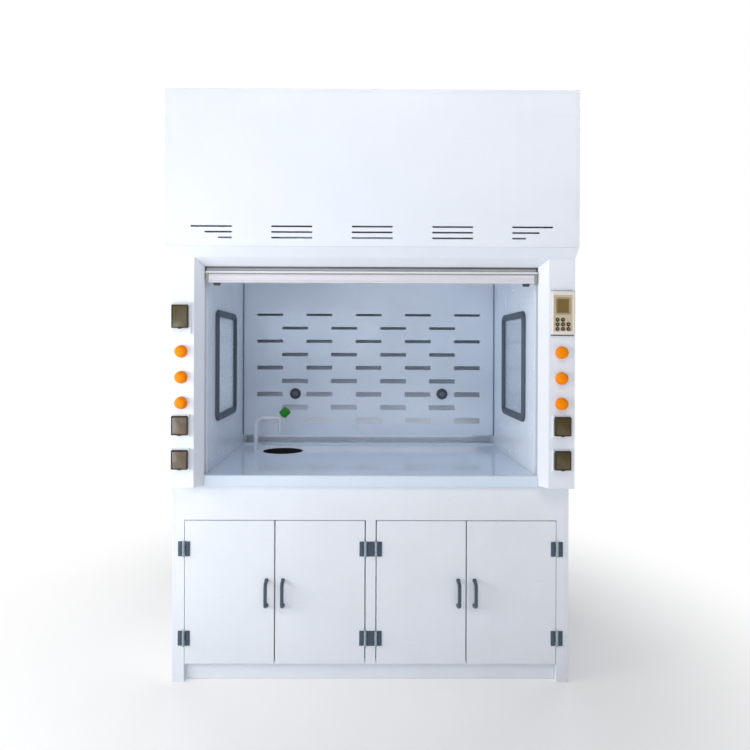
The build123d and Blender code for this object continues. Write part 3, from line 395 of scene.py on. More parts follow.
# Painted shade strips: lilac on the controller's top edge, near-black under the controller and in the nozzle bores,
# blue in the baffle corners.
M["seal_lilac"] = surface("seal_lilac", (0.40, 0.42, 0.50), 0.50, tone=0.08, edge=0.0005, grain=0.00003, grain_scale=1500)
M["seal_dark"] = surface("seal_dark", (0.045, 0.045, 0.050), 0.45, tone=0.12, edge=0.0005, grain=0.00003, grain_scale=1500)
M["seal_blue"] = surface("seal_blue", (0.16, 0.22, 0.32), 0.45, tone=0.10, edge=0.0006, grain=0.00003, grain_scale=900)
M["controller_trim"] = surface("controller_trim", (0.36, 0.29, 0.18), 0.30, tone=0.06, edge=0.0004, edge_wear_highlight_tint=(0.55, 0.47, 0.33), grain=0.00002, grain_scale=2400, coat=0.3)
M["display_brown"] = surface("display_brown", (0.22, 0.145, 0.052), 0.10, tone=0.10, grain=0.000004, coat=0.4, coat_rough=0.04)
M["key_dot"] = surface("key_dot", (0.60, 0.55, 0.42), 0.35, tone=0.05, grain=0.00002, grain_scale=2400)
M["rail_strip"] = surface("rail_strip", (0.74, 0.74, 0.74), 0.22, tone=0.03, edge=0.0006, edge_wear_highlight_tint=(0.86, 0.86, 0.86), grain=0.000006, coat=0.3)
# Grey fill for the rail's groove: painted shade in the recess.
M["groove_painted_shade"] = surface("groove_painted_shade", (0.33, 0.335, 0.36), 0.5, tone=0.08, edge=0.0005, grain=0.00003)
M["endcap_olive"] = surface("endcap_olive", (0.30, 0.33, 0.28), 0.45, tone=0.08, edge=0.0007, edge_wear_highlight_tint=(0.44, 0.47, 0.42), grain=0.00003, grain_scale=1500)
M["rubber_dark"] = surface("rubber_dark", (0.055, 0.058, 0.062), 0.55, tone=0.14, edge=0.0006, edge_wear_highlight_tint=(0.12, 0.12, 0.13), grain=0.00005, grain_scale=1200)
M["handle_slate"] = surface("handle_slate", (0.052, 0.080, 0.112), 0.34, tone=0.12, edge=0.0010, edge_wear_highlight_tint=(0.14, 0.18, 0.23), grain=0.00003, grain_scale=1500, coat=0.2)
# Knuckles: the hinge's slate made paler, a painted highlight down each barrel.
M["knuckle_painted_highlight"] = surface("knuckle_painted_highlight", (0.30, 0.37, 0.43), 0.22, tone=0.08, edge=0.0006, edge_wear_highlight_tint=(0.40, 0.46, 0.52), grain=0.00002, grain_scale=1500, coat=0.5)
M["nozzle_pale"] = surface("nozzle_pale", (0.15, 0.165, 0.20), 0.32, tone=0.10, edge=0.0006, edge_wear_highlight_tint=(0.34, 0.36, 0.40), grain=0.00002)
M["rim_pale"] = surface("rim_pale", (0.62, 0.68, 0.76), 0.25, tone=0.06, edge=0.0006, edge_wear_highlight_tint=(0.75, 0.8, 0.86), grain=0.00001, coat=0.3)
M["bead_white"] = surface("bead_white", (0.70, 0.755, 0.83), 0.34, tone=0.05, edge=0.0, grain=0.00002, grain_scale=900)
M["screw_steel"] = surface("screw_steel", (0.50, 0.51, 0.53), 0.32, tone=0.08, metallic=1.0, grain=0.00003, grain_scale=1400)

for name, obj in NODES.items():
    for i, old in enumerate(obj.data.materials):
        if old is not None and old.name in M or (old and old.name.split(".")[0] in M):
            obj.data.materials[i] = M[old.name.split(".")[0]]
for i in range(len(NODES["window_panes"].data.materials)):
    NODES["window_panes"].data.materials[i] = M["window_pane"]

# ------------------------------------------------------------------ mesh kit
MM = 0.001
AX, AY, AZ = Vector((1.0, 0.0, 0.0)), Vector((0.0, 1.0, 0.0)), Vector((0.0, 0.0, 1.0))
FRONT = Vector((0.0, -1.0, 0.0))
TAU = 2.0 * math.pi


def B(node):
    """A CAD node's corners in millimetres."""
    lo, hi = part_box(node)
    return Vector(lo) * 1000.0, Vector(hi) * 1000.0


def basis(n):
    """Unit vectors u, v across n, with u, v, n right-handed."""
    n = Vector(n).normalized()
    ref = AZ if abs(n.z) < 0.9 else AX
    u = ref.cross(n).normalized()
    return u, n.cross(u), n


def round_rect(w, h, r, seg=6):
    """Points round a rectangle with rounded corners."""
    r = max(0.01, min(r, w / 2 - 0.005, h / 2 - 0.005))
    out = []
    for cx, cy, a0 in ((w / 2 - r, h / 2 - r, 0), (r - w / 2, h / 2 - r, 90), (r - w / 2, r - h / 2, 180), (w / 2 - r, r - h / 2, 270)):
        for i in range(seg + 1):
            a = math.radians(a0 + 90.0 * i / seg)
            out.append((cx + r * math.cos(a), cy + r * math.sin(a)))
    return out


def bent(points, radii, seg=8):
    """Straight runs joined by arcs."""
    pts = [Vector(p) for p in points]
    out = [pts[0]]
    for a, b, c, r in zip(pts, pts[1:], pts[2:], radii):
        d0, d1 = (a - b).normalized(), (c - b).normalized()
        half = d0.angle(d1) / 2
        centre = b + (d0 + d1).normalized() * (r / math.sin(half))
        v0 = b + d0 * (r / math.tan(half)) - centre
        v1 = b + d1 * (r / math.tan(half)) - centre
        om = v0.angle(v1)
        for i in range(seg + 1):
            t = i / seg
            out.append(centre + (v0 * math.sin((1 - t) * om) + v1 * math.sin(t * om)) / math.sin(om))
    out.append(pts[-1])
    return out


class Build:
    """Gathers closed shells of mesh for one piece, in millimetres."""

    def __init__(self):
        self.bm = bmesh.new()

    def bridge(self, a, b):
        f = self.bm.faces.new
        if len(a) == 1 and len(b) == 1:
            return
        n = max(len(a), len(b))
        for i in range(n):
            j = (i + 1) % n
            if len(a) == 1:
                f((a[0], b[j], b[i]))
            elif len(b) == 1:
                f((a[i], a[j], b[0]))
            else:
                f((a[i], a[j], b[j], b[i]))

    def skin(self, rings, loop=False):
        """Joins closed rings of points into a shell; loop joins the last ring back to the first."""
        lv = [[self.bm.verts.new(p) for p in ring] for ring in rings]
        for a, b in zip(lv, lv[1:]):
            self.bridge(a, b)
        if loop:
            self.bridge(lv[-1], lv[0])
        else:
            if len(lv[0]) > 1:
                self.bm.faces.new(lv[0][::-1])
            if len(lv[-1]) > 1:
                self.bm.faces.new(lv[-1])

    def lathe(self, o, n, profile, seg=48, mod=None, loop=False, phase=0.0):
        """Turns (radius, height) points about the axis n through o; a radius of 0 is a point."""
        u, v, n = basis(n)
        o = Vector(o)
        rings = []
        for r, h in profile:
            c = o + n * h
            if r < 1e-6:
                rings.append([c])
                continue
            ring = []
            for i in range(seg):
                t = TAU * i / seg + phase
                k = r + (mod(t, r, h) if mod else 0.0)
                ring.append(c + (u * math.cos(t) + v * math.sin(t)) * k)
            rings.append(ring)
        self.skin(rings, loop)

    def stack(self, o, n, w, h, r, levels, seg=5, loop=False, up=None):
        """Rounded rectangle w by h across n, lofted through (inset, height) levels."""
        u, v, n = basis(n)
        o = Vector(o)
        self.skin([[o + u * x + v * y + n * z for x, y in round_rect(w - 2 * d, h - 2 * d, r - d, seg)] for d, z in levels], loop)

    def block(self, lo, hi, r=0.6, edge=0.5):
        """Box between two corners with eased edges, lofted along its thinnest way."""
        lo, hi = Vector(lo), Vector(hi)
        c, s = (lo + hi) / 2, hi - lo
        k = min(range(3), key=lambda i: s[i])
        n = Vector([1.0 if i == k else 0.0 for i in range(3)])
        u, v, n = basis(n)
        w = abs(s.dot(u))
        h = abs(s.dot(v))
        t = s[k]
        e = min(edge, t * 0.45, w * 0.3, h * 0.3)
        self.stack(c - n * (t / 2), n, w, h, r, [(e, 0), (e * 0.3, e * 0.3), (0, e), (0, t - e), (e * 0.3, t - e * 0.3), (e, t)], seg=3)

    def sweep(self, path, side, section):
        """Carries a closed section along a path lying across side; section(t) gives (along side, across) points."""
        side = Vector(side)
        lens = [0.0]
        for a, b in zip(path, path[1:]):
            lens.append(lens[-1] + (b - a).length)
        rings = []
        for i, p in enumerate(path):
            t = (path[min(i + 1, len(path) - 1)] - path[max(i - 1, 0)]).normalized()
            up = side.cross(t)
            rings.append([p + side * a + up * b for a, b in section(lens[i] / lens[-1])])
        self.skin(rings)

    def screw(self, o, n, r=3.0, h=1.5, turn=0.3, k=10):
        """Pan head screw with a cross recess."""
        u, v, n = basis(n)
        u, v = u * math.cos(turn) + v * math.sin(turn), v * math.cos(turn) - u * math.sin(turn)
        o = Vector(o)
        grid = []
        for i in range(k + 1):
            row = []
            for j in range(k + 1):
                a, b = 2 * i / k - 1, 2 * j / k - 1
                x, y = a * math.sqrt(1 - b * b / 2), b * math.sqrt(1 - a * a / 2)
                z = h * (1 - 0.42 * (x * x + y * y) ** 1.5)
                if (abs(x) < 0.11 and abs(y) < 0.62) or (abs(y) < 0.11 and abs(x) < 0.62):
                    z -= 0.5 * h
                row.append(self.bm.verts.new(o + (u * x + v * y) * r + n * z))
            grid.append(row)
        for i in range(k):
            for j in range(k):
                self.bm.faces.new((grid[i][j], grid[i + 1][j], grid[i + 1][j + 1], grid[i][j + 1]))
        rim = ([grid[i][0] for i in range(k)] + [grid[k][j] for j in range(k)] +
               [grid[i][k] for i in range(k, 0, -1)] + [grid[0][j] for j in range(k, 0, -1)])
        low = [self.bm.verts.new(p.co - n * n.dot(p.co - o)) for p in rim]
        self.bridge(rim, low)
        self.bm.faces.new(low)

    def hexhead(self, o, n, r=6.0, h=4.0, turn=0.2):
        """Hexagon bolt head on a washer."""
        self.lathe(o, n, [(0, 0), (r * 1.32, 0), (r * 1.35, 0.25), (r * 1.32, 1.1), (r * 1.0, 1.15), (0, 1.15)], 28)
        self.lathe(o, n, [(0, 1.0), (r, 1.0), (r, h - 0.7), (r * 0.86, h), (0, h)], 6, phase=turn)


def piece(name, build, body, mat, hide=(), angle=34.0):
    """Turns a build into an object of the hood, riding on a body."""
    bm = build.bm
    bmesh.ops.scale(bm, vec=(MM, MM, MM), verts=bm.verts)
    bmesh.ops.recalc_face_normals(bm, faces=bm.faces)
    me = bpy.data.meshes.new(name)
    bm.to_mesh(me)
    bm.free()
    me.polygons.foreach_set("use_smooth", [True] * len(me.polygons))
    me.set_sharp_from_angle(angle=math.radians(angle))
    me.materials.append(mat)
    ob = bpy.data.objects.new(name, me)
    scene.collection.objects.link(ob)
    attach(ob, body)
    if hide:
        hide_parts(*hide)
    return ob


# ------------------------------------------------------------------ valve knobs
col_lo, col_hi = B("front_columns")
FACE = col_lo.y
for side in ("left", "right"):
    for i in (1, 2, 3):
        node = "valve_knob_%s_%d" % (side, i)
        lo, hi = B(node)
        R = (hi.x - lo.x) / 2
        o = Vector(((lo.x + hi.x) / 2, FACE, (lo.z + hi.z) / 2))
        H = FACE - lo.y
        back = FACE - hi.y
        prof = [(0, back), (4.0, back), (4.4, back + 0.6), (4.4, 0.7), (R - 0.7, 0.7), (R - 0.1, 1.2), (R, 2.0), (R, 3.4), (R - 0.5, 4.5),
                (R - 1.5, 5.1), (R - 2.3, 5.6), (R - 2.5, 6.6), (R - 2.0, 7.6), (R - 1.5, 8.6), (R - 1.5, 11.0), (R - 1.8, 14.0), (R - 2.4, 16.6),
                (R - 3.6, 18.9), (R - 5.4, 20.7), (R - 8.0, 22.2), (R - 11.5, 23.2), (R - 15.5, 23.8), (R - 19.5, 24.05), (0, 24.1)]
        b = Build()
        b.lathe(o, FRONT, prof, 132, lambda t, r, h: (-0.22 * (0.5 + 0.5 * math.cos(33 * t)) if 8.0 < h < 15.0 else 0.0))
        b.stack(o + AZ * 12.5 + FRONT * 20.5, FRONT, 2.2, 8.0, 1.0, [(0, 0), (0, H - 21.1), (0.5, H - 20.7)], seg=4)
        piece(node + "_dome", b, node, M["knob_orange"], (node,), angle=50)

# ------------------------------------------------------------------ flip covers
COVERS = ("socket_cover_left_upper", "socket_cover_left_lower", "socket_cover_right_upper", "socket_cover_right_lower", "breaker_cover")
for node in COVERS:
    lo, hi = B(node)
    cx, w = (lo.x + hi.x) / 2, hi.x - lo.x - 6.0
    zt, z0 = hi.z - 3.0, lo.z + 3.0
    z1 = zt + 1.4
    back, deep = hi.y, hi.y - lo.y
    o = Vector((cx, back, (z0 + z1) / 2))
    b = Build()
    b.stack(o, FRONT, w, z1 - z0, 1.8, [(0, 0), (0, deep - 1.6), (0.4, deep - 0.6), (1.1, deep), (2.4, deep), (3.2, deep - 0.5), (3.5, deep - 1.2),
                                        (3.5, deep - 3.2), (2.1, deep - 3.4), (2.1, 0)], seg=6, loop=True)
    pv = Vector((cx, lo.y + 10.9, zt))
    x0 = -(w / 2 + 3.0)
    b.lathe(pv + AX * x0, AX, [(0, 0), (1.2, 0), (1.45, 0.3), (1.45, 3.0), (2.5, 3.0), (2.95, 3.5), (2.95, w + 2.5), (2.5, w + 3), (1.45, w + 3),
                               (1.45, w + 5.7), (1.2, w + 6), (0, w + 6)], 24)
    b.block((cx - 7, lo.y + 2.5, z0 - 3), (cx + 7, lo.y + 6.5, z0 + 1.5), 1.6, 0.8)
    piece(node + "_bezel", b, node, M["cover_bezel"], (node,))
    b = Build()
    b.stack(o, FRONT, w - 7.2, z1 - z0 - 7.2, 1.5, [(0, deep - 3.0), (0, deep - 1.6), (0.4, deep - 1.2), (1.0, deep - 1.0)], seg=4)
    # Socket panes take the left copy (painted highlight haze) or the right copy (painted shade) of the smoked plastic.
    kind = "breaker" if "breaker" in node else ("left" if "left" in node else "right")
    piece(node + "_pane", b, node, M["cover_pane_" + kind])

# raised borders round the socket faces, and the breaker's terminal covers
b = Build()
fr = B("device_frames")
ins_y = B("device_inserts")[0].y
for node in COVERS:
    lo, hi = B(node)
    cx, zt = (lo.x + hi.x) / 2, hi.z - 3.0
    hgt = zt - (lo.z + 3.0)
    cz = zt - hgt / 2
    if node != "breaker_cover":
        b.stack((cx, ins_y + 0.02, cz), FRONT, 46, 50, 8, [(0, 0), (0, 0.9), (0.5, 1.4), (1.4, 1.4), (1.9, 0.9), (1.9, 0)], seg=5, loop=True)
        b.block((cx - 14, ins_y - 1.5, cz - 19.0), (cx + 14, ins_y + 0.1, cz - 16.4), 1.0, 0.5)
    else:
        by = ins_y + 1.0
        for dz, hh in ((24.0, 10.0), (-23.0, 9.0)):
            b.block((cx - 17, by - 3.0, cz + dz - hh / 2), (cx + 17, by + 0.2, cz + dz + hh / 2), 1.2, 0.7)
        b.block((cx - 14.5, by - 2.0, cz - 14.0), (cx - 9.0, by + 0.2, cz + 14.0), 1.0, 0.5)
        b.block((cx + 9.0, by - 2.0, cz - 14.0), (cx + 14.5, by + 0.2, cz + 14.0), 1.0, 0.5)
piece("device_face_trim", b, "hood", M["device_trim"])

# ------------------------------------------------------------------ controller
lo, hi = B("controller_housing")
w, h, deep = hi.x - lo.x, hi.z - lo.z, FACE - lo.y
c = Vector(((lo.x + hi.x) / 2, FACE, (lo.z + hi.z) / 2))
flo, fhi = B("controller_face")
inset = flo.x - lo.x - 0.4
zl, zu = lo.z + 6.5, hi.z + 0.0
b = Build()
ix = flo.x - lo.x - 0.2
rings = []
for k, y, r in ((0.0, 0.05, 4.0), (0.0, deep - 3.6, 4.0), (0.09, deep - 2.0, 3.8), (0.26, deep - 0.8, 3.5), (0.5, deep, 3.0), (0.72, deep, 2.6), (0.86, deep - 0.7, 2.4), (1.0, deep - 2.2, 2.0), (1.0, deep - 3.1, 2.0)):
    xa, xb, za, zb2 = lo.x + ix * k, hi.x - (hi.x - fhi.x - 0.2) * k, zl + 14.5 * k, zu - 16.0 * k
    rings.append([Vector(((xa + xb) / 2 - px, FACE - y, (za + zb2) / 2 + pz)) for px, pz in round_rect(xb - xa, zb2 - za, r, 5)])
back_rings = [[Vector((p.x, FACE - 0.05, p.z)) for p in rings[3]]]
b.skin(rings + back_rings, loop=True)
piece("controller_bezel", b, "hood", M["controller_silver"], ("controller_housing",))
# Dark strip under the controller: painted shadow in the gap below the housing.
b = Build()
b.block((lo.x - 1.0, FACE - 3.2, zl - 3.6), (hi.x - 0.5, FACE + 0.2, zl - 0.2), 0.8, 0.5)
piece("controller_low_painted_shadow", b, "hood", M["seal_dark"])
# Lilac strip over the controller: painted shade on the frame's top edge.
b = Build()
b.block((lo.x + 0.5, FACE - 2.6, hi.z + 0.2), (hi.x - 6.0, FACE + 0.2, hi.z + 3.4), 0.8, 0.5)
piece("controller_top_painted_shade", b, "hood", M["seal_lilac"])
py = flo.y + 0.8                                   # front of the tan panel
b = Build()
k2 = B("key_2")
dcx, dcz = (k2[0].x + k2[1].x) / 2, (k2[0].z + k2[1].z) / 2 + 50.8
b.stack((dcx, py + 0.05, dcz), FRONT, 56, 63, 3.0, [(0, 0), (0, 0.7), (0.5, 1.3), (2.4, 1.5), (4.4, 1.2), (5.6, 0.5), (5.9, 0)], seg=5, loop=True)
piece("controller_display_bezel", b, "hood", M["controller_trim"])
b = Build()
b.stack((dcx, py + 0.1, dcz), FRONT, 44.4, 51.4, 1.2, [(0, 0), (0, 0.5), (0.3, 0.75)], seg=4)
piece("controller_display", b, "hood", M["display_brown"])
b = Build()
for i in range(1, 9):
    klo, khi = B("key_%d" % i)
    kc = (klo + khi) / 2
    b.lathe((kc.x, py + 0.05, kc.z), FRONT, [(7.0, 0), (7.0, 0.5), (7.3, 0.8), (8.0, 0.8), (8.4, 0.4), (8.5, 0)], 32, loop=True)
piece("controller_key_collars", b, "hood", M["controller_trim"])
for i in range(1, 9):
    klo, khi = B("key_%d" % i)
    kc, kr = (klo + khi) / 2, (khi.x - klo.x) / 2
    kh = khi.y - klo.y
    o = Vector((kc.x, khi.y, kc.z))
    b = Build()
    b.lathe(o, FRONT, [(0, 0), (kr, 0), (kr, kh - 1.1), (kr - 0.3, kh - 0.4), (kr - 0.9, kh), (kr - 1.7, kh - 0.05), (kr - 2.6, kh - 0.5), (2.4, kh - 0.8), (0, kh - 0.8)], 36)
    piece("key_%d_cap" % i, b, "key_%d" % i, M["key_dark"], ("key_%d" % i,))
    b = Build()
    b.lathe(o, FRONT, [(0, kh - 0.82), (1.5, kh - 0.82), (1.5, kh - 0.4), (1.1, kh - 0.25), (0, kh - 0.2)], 20)
    piece("key_%d_dot" % i, b, "key_%d" % i, M["key_dot"])

# ------------------------------------------------------------------ sash rail
lo, hi = B("sash_lower_rail")
yb, yf, zt = hi.y, lo.y, hi.z                     # back, front lip, top
zb = zt - 44.0                                     # lower edge of the extrusion
gl, gh = B("sash_lower_glass")
X1 = hi.x - 13.0


def yz(pts):
    """A section given as (y, z) points."""
    return [(z, -y) for y, z in pts]


def along_x(b, pts, x0, x1):
    b.skin([[Vector((x, y, z)) for y, z in pts] for x in (x0, x1)])


strip = [(yf + 2.0, zt - 6.6), (yf + 1.7, zt - 5.8), (yf + 1.7, zt - 1.6), (yf + 2.2, zt - 0.6), (yf + 3.2, zt), (gl.y - 0.3, zt), (gl.y - 0.3, zt - 7.4), (yf + 6.0, zt - 7.4), (yf + 3.0, zt - 7.0)]
band = [(yf + 6.2, zt - 7.6), (gl.y - 0.3, zt - 7.6), (gl.y - 0.3, zb + 22.6), (gh.y + 0.3, zb + 22.6), (gh.y + 0.3, zt - 1.0), (yb, zt - 1.0), (yb, zb + 2.0), (yb - 1.6, zb), (yf + 2.4, zb), (yf + 0.6, zb + 0.9),
        (yf, zb + 2.4), (yf, zb + 5.4), (yf + 0.7, zb + 7.0), (yf + 2.0, zb + 8.4), (yf + 2.6, zb + 9.6), (yf + 2.2, zb + 11.0), (yf + 1.7, zb + 14.0), (yf + 1.5, zb + 20.0), (yf + 1.7, zb + 26.5), (yf + 2.3, zb + 30.0),
        (yf + 3.4, zb + 31.6), (yf + 6.2, zb + 32.2)]
b = Build()
along_x(b, strip, -hi.x + 0.4, hi.x - 0.4)
piece("sash_top_strip", b, "sash_lower", M["rail_strip"], ("sash_lower_rail",), angle=25)
b = Build()
along_x(b, band, -X1, X1)
piece("sash_grip_rail", b, "sash_lower", M["rail_white"], ("sash_lower_rail",), angle=25)
# Grey block set in the rail's groove: painted shade in the recess.
b = Build()
along_x(b, [(yf + 3.4, zt - 12.0), (gl.y - 0.5, zt - 12.0), (gl.y - 0.5, zt - 7.45), (yf + 3.4, zt - 7.45)], -X1 - 0.05, X1 + 0.05)
piece("sash_rail_groove", b, "sash_lower", M["groove_painted_shade"], angle=25)
b = Build()
for s in (-1, 1):
    xa, xb = sorted((s * (X1 + 0.2), s * (hi.x - 0.2)))
    b.block((xa, yf + 3.0, zb + 1.0), (xb, gl.y - 0.4, zt - 8.0), 1.5, 1.2)
    b.block((xa, gh.y + 0.4, zb + 1.0), (xb, yb - 0.2, zt - 8.0), 1.0, 0.6)
    b.block((xa, gl.y - 2.0, zb + 1.0), (xb, gh.y + 2.0, zb + 22.0), 1.0, 0.6)
    b.screw(((xa + xb) / 2, yf + 3.1, zb + 14.0), FRONT, 2.6, 1.2)
    b.screw(((xa + xb) / 2, yf + 3.1, zb + 29.0), FRONT, 2.6, 1.2, turn=0.9)
piece("sash_rail_end_caps", b, "sash_lower", M["endcap_olive"])
b = Build()
for s in (-1, 1):
    b.stack((s * 584.0, -337.0, zb - 0.05), -AZ, 13.5, 26, 3.5, [(0, 0), (0, 4.5), (0.8, 7.2), (2.4, 9.2), (4.2, 9.9)], seg=5)
piece("sash_bumpers", b, "sash_lower", M["rubber_dark"])

# wiper seal between the soffit and the sash glass
b, k = Build(), Build()
b.block((-623.5, -336.8, zt + 11.0), (623.5, -333.7, zt + 18.5), 0.6, 0.4)
k.block((-623.5, -336.2, zt + 3.2), (623.5, -334.0, zt + 11.4), 0.6, 0.4)
piece("head_seal_holder", b, "hood", M["holder_brown"])
piece("head_wiper_seal", k, "hood", M["wiper_grey"])

# ------------------------------------------------------------------ window gaskets
lo, hi = B("window_gaskets")
plo, phi = B("window_panes")
cy, cz = (lo.y + hi.y) / 2, (lo.z + hi.z) / 2
W, H = hi.y - lo.y, hi.z - lo.z
wall = 626.0
GW = 28.5
b = Build()
for s in (-1, 1):
    n = Vector((-s, 0, 0))
    b.stack((s * wall, cy, cz), n, W, H, 35, [(0, 0), (0, 5.5), (0.7, 8.4), (2.6, 10.6), (5.6, 11.8), (9.0, 12.0), (GW / 2 - 2.4, 12.0), (GW / 2 - 1.2, 11.1), (GW / 2 + 1.2, 11.1),
                                              (GW / 2 + 2.4, 12.0), (GW - 8.0, 12.0), (GW - 4.6, 11.3), (GW - 1.6, 9.2), (GW - 0.4, 6.4), (GW, 3.5), (GW, 0)], seg=10, loop=True)
    W2, H2 = phi.y - plo.y - 0.4, phi.z - plo.z - 0.4
    b.stack((s * (hi.x - 8.0), cy, cz), -n, W2, H2, 15.6, [(0, 0), (0, 6.8), (0.6, 7.6), (1.6, 8.0), (8.4, 8.0), (9.6, 7.4), (10.2, 6.2), (10.3, 0)], seg=8, loop=True)
piece("window_gaskets_moulded", b, "hood", M["gasket_grey"], ("window_gaskets",))

# ------------------------------------------------------------------ doors' handles and hinges
CAB = B("door_1")[0].y
blo, bhi = B("hinge_frame_leaves")
leaf_h = 56.0
HZS = (blo.z + leaf_h / 2, bhi.z - leaf_h / 2)
KR = 5.0


def leaf(b, x0, x1, hz, screws):
    xa, xb = sorted((x0, x1))
    o = Vector(((xa + xb) / 2, CAB, hz))
    b.stack(o, FRONT, xb - xa, leaf_h, 2.0, [(0, -0.02), (0, 1.9), (0.35, 2.6), (1.0, 3.0)], seg=4)
    for sx, sz in screws:
        b.screw((sx, CAB - 2.95, hz + sz), FRONT, 2.5, 0.9, turn=sx * 0.37 + sz)


def knuckle(b, x, hz, z0, z1):
    b.lathe((x, CAB - 6.0, hz + z0), AZ, [(2.6, 0), (KR - 0.7, 0), (KR, 0.7), (KR, z1 - z0 - 0.7), (KR - 0.7, z1 - z0), (2.6, z1 - z0)], 28, loop=True)


hinge_x = {}
for i, hand in ((1, -1), (2, 1), (3, -1), (4, 1)):
    node = "door_%d_hardware" % i
    lo, hi = B(node)
    hx = lo.x + KR if hand < 0 else hi.x - KR
    gx = hi.x - 7.5 if hand < 0 else lo.x + 7.5
    hinge_x[i] = (hx, hand)
    w = -hand
    b = Build()
    zc, L, out = 337.5, 110.0, CAB - lo.y
    path = bent([(gx, CAB + 0.3, zc - L / 2 + 7.5), (gx, CAB - out + 4.6, zc - L / 2 + 11.5), (gx, CAB - out + 4.6, zc + L / 2 - 11.5), (gx, CAB + 0.3, zc + L / 2 - 7.5)], (15, 15), 10)

    def grip(t):
        k = math.sin(math.pi * t)
        return round_rect(14.6 - 2.0 * k, 9.0, 3.9, 4)
    b.sweep(path, AX, grip)
    for sz in (-1, 1):
        b.stack((gx, CAB, zc + sz * (L / 2 - 7.8)), FRONT, 15, 15, 5.0, [(0, -0.02), (0, 1.6), (0.6, 2.4), (1.6, 2.8)], seg=5)
    piece("door_%d_handle" % i, b, "door_%d" % i, M["handle_slate"], (node,))
    b = Build()
    k = Build()
    for hz in HZS:
        leaf(b, hx + w * 5.5, hx + w * 22.5, hz, [(hx + w * 14.5, -19.0), (hx + w * 14.5, 19.0), (hx + w * 17.0, 0.0)])
        xa, xb = sorted((hx + w * 3.4, hx + w * 6.2))
        b.block((xa, CAB - 2.9, hz - 8.9), (xb, CAB - 0.3, hz + 8.9), 0.4, 0.3)
        knuckle(k, hx, hz, -9.0, 9.0)
    piece("door_%d_leaves" % i, b, "door_%d" % i, M["hinge_slate"])
    piece("door_%d_knuckles" % i, k, "door_%d" % i, M["knuckle_painted_highlight"])
b, k = Build(), Build()
for hz in HZS:
    for i in (1, 4):
        hx, hand = hinge_x[i]
        leaf(b, hx + hand * 5.5, hx + hand * 22.5, hz, [(hx + hand * 14.5, -19.0), (hx + hand * 14.5, 19.0), (hx + hand * 17.0, 0.0)])
    xm = abs(hinge_x[2][0]) - 5.5
    leaf(b, -xm, xm, hz, [(-xm + 6.5, -19.0), (-xm + 6.5, 19.0), (xm - 6.5, -19.0), (xm - 6.5, 19.0)])
    for hx, hand in hinge_x.values():
        for z0, z1 in ((-leaf_h / 2, -9.4), (9.4, leaf_h / 2)):
            xa, xb = sorted((hx + hand * 3.4, hx + hand * 6.2))
            b.block((xa, CAB - 2.9, hz + z0 + 0.1), (xb, CAB - 0.3, hz + z1 - 0.1), 0.4, 0.3)
            knuckle(k, hx, hz, z0, z1)
piece("hinge_frame_plates", b, "hood", M["hinge_slate"], ("hinge_frame_leaves",))
piece("hinge_frame_knuckles", k, "hood", M["knuckle_painted_highlight"])

# Olive strips behind the gap between meeting doors: painted shade seen through the gap.
for i in (1, 3):
    dlo, dhi = B("door_%d" % i)
    elo, ehi = B("door_%d" % (i + 1))
    xm = (dhi.x + elo.x) / 2
    for door, xa, xb in ((i, xm - 9.0, xm - 0.3), (i + 1, xm + 0.3, xm + 9.0)):
        b = Build()
        b.block((xa, dhi.y + 0.05, dlo.z + 3.0), (xb, dhi.y + 2.6, dhi.z - 3.0), 0.8, 0.4)
        piece("door_%d_meeting_seal" % door, b, "door_%d" % door, M["seal_olive"])

# ------------------------------------------------------------------ gas nozzles
lo, hi = B("gas_nozzles")
GR = (hi.z - lo.z) / 2
GV = GR * 1.05
gz = (hi.z + lo.z) / 2
gx = hi.x - GR
by = lo.y + 60.0
b, k, d = Build(), Build(), Build()
for s in (-1, 1):
    o = Vector((s * gx, by, gz))
    b.lathe(o, FRONT, [(0, -20), (8, -20), (8, -0.02), (GV - 0.6, -0.02), (GV, 0.8), (GV, 4.6), (GV - 0.8, 6.2), (GV - 2.4, 7.4), (GV - 5.0, 8.0), (GV - 9.2, 8.2), (GV - 10.4, 9.2),
                       (GV - 12.0, 9.5), (14.0, 10.0), (12.6, 10.4), (0, 10.5)], 64,
            lambda t, r, h: (-2.6 * abs(math.sin(4 * t)) ** 1.5 if r > GR - 3 and h >= 0 else 0.0))
    k.lathe(o, FRONT, [(2.6, 10.0), (12.2, 10.0), (12.4, 12.0), (12.0, 26.0), (11.2, 29.0), (8.6, 31.0), (7.6, 33.4), (5.0, 35.5), (5.0, 38.5), (4.3, 39.2), (5.0, 43.0), (4.3, 43.6), (5.0, 47.4), (4.3, 48.0),
                       (5.0, 51.8), (4.3, 52.4), (5.0, 57.0), (4.6, 59.6), (4.2, 60.0), (3.2, 60.0), (3.0, 59.4), (2.6, 52.0)], 40, loop=True)
piece("gas_nozzle_flanges", b, "hood", M["nozzle_grey"], ("gas_nozzles",), angle=40)
piece("gas_nozzle_barbs", k, "hood", M["nozzle_pale"], ("gas_nozzles",))
# Dark rods filling the barbs' bores: painted shade inside the holes.
for s in (-1, 1):
    d.lathe((s * gx, by, gz), FRONT, [(0, 12), (2.55, 12), (2.55, 40), (0, 40)], 20)
piece("gas_nozzle_bore_painted_shade", d, "hood", M["seal_dark"])

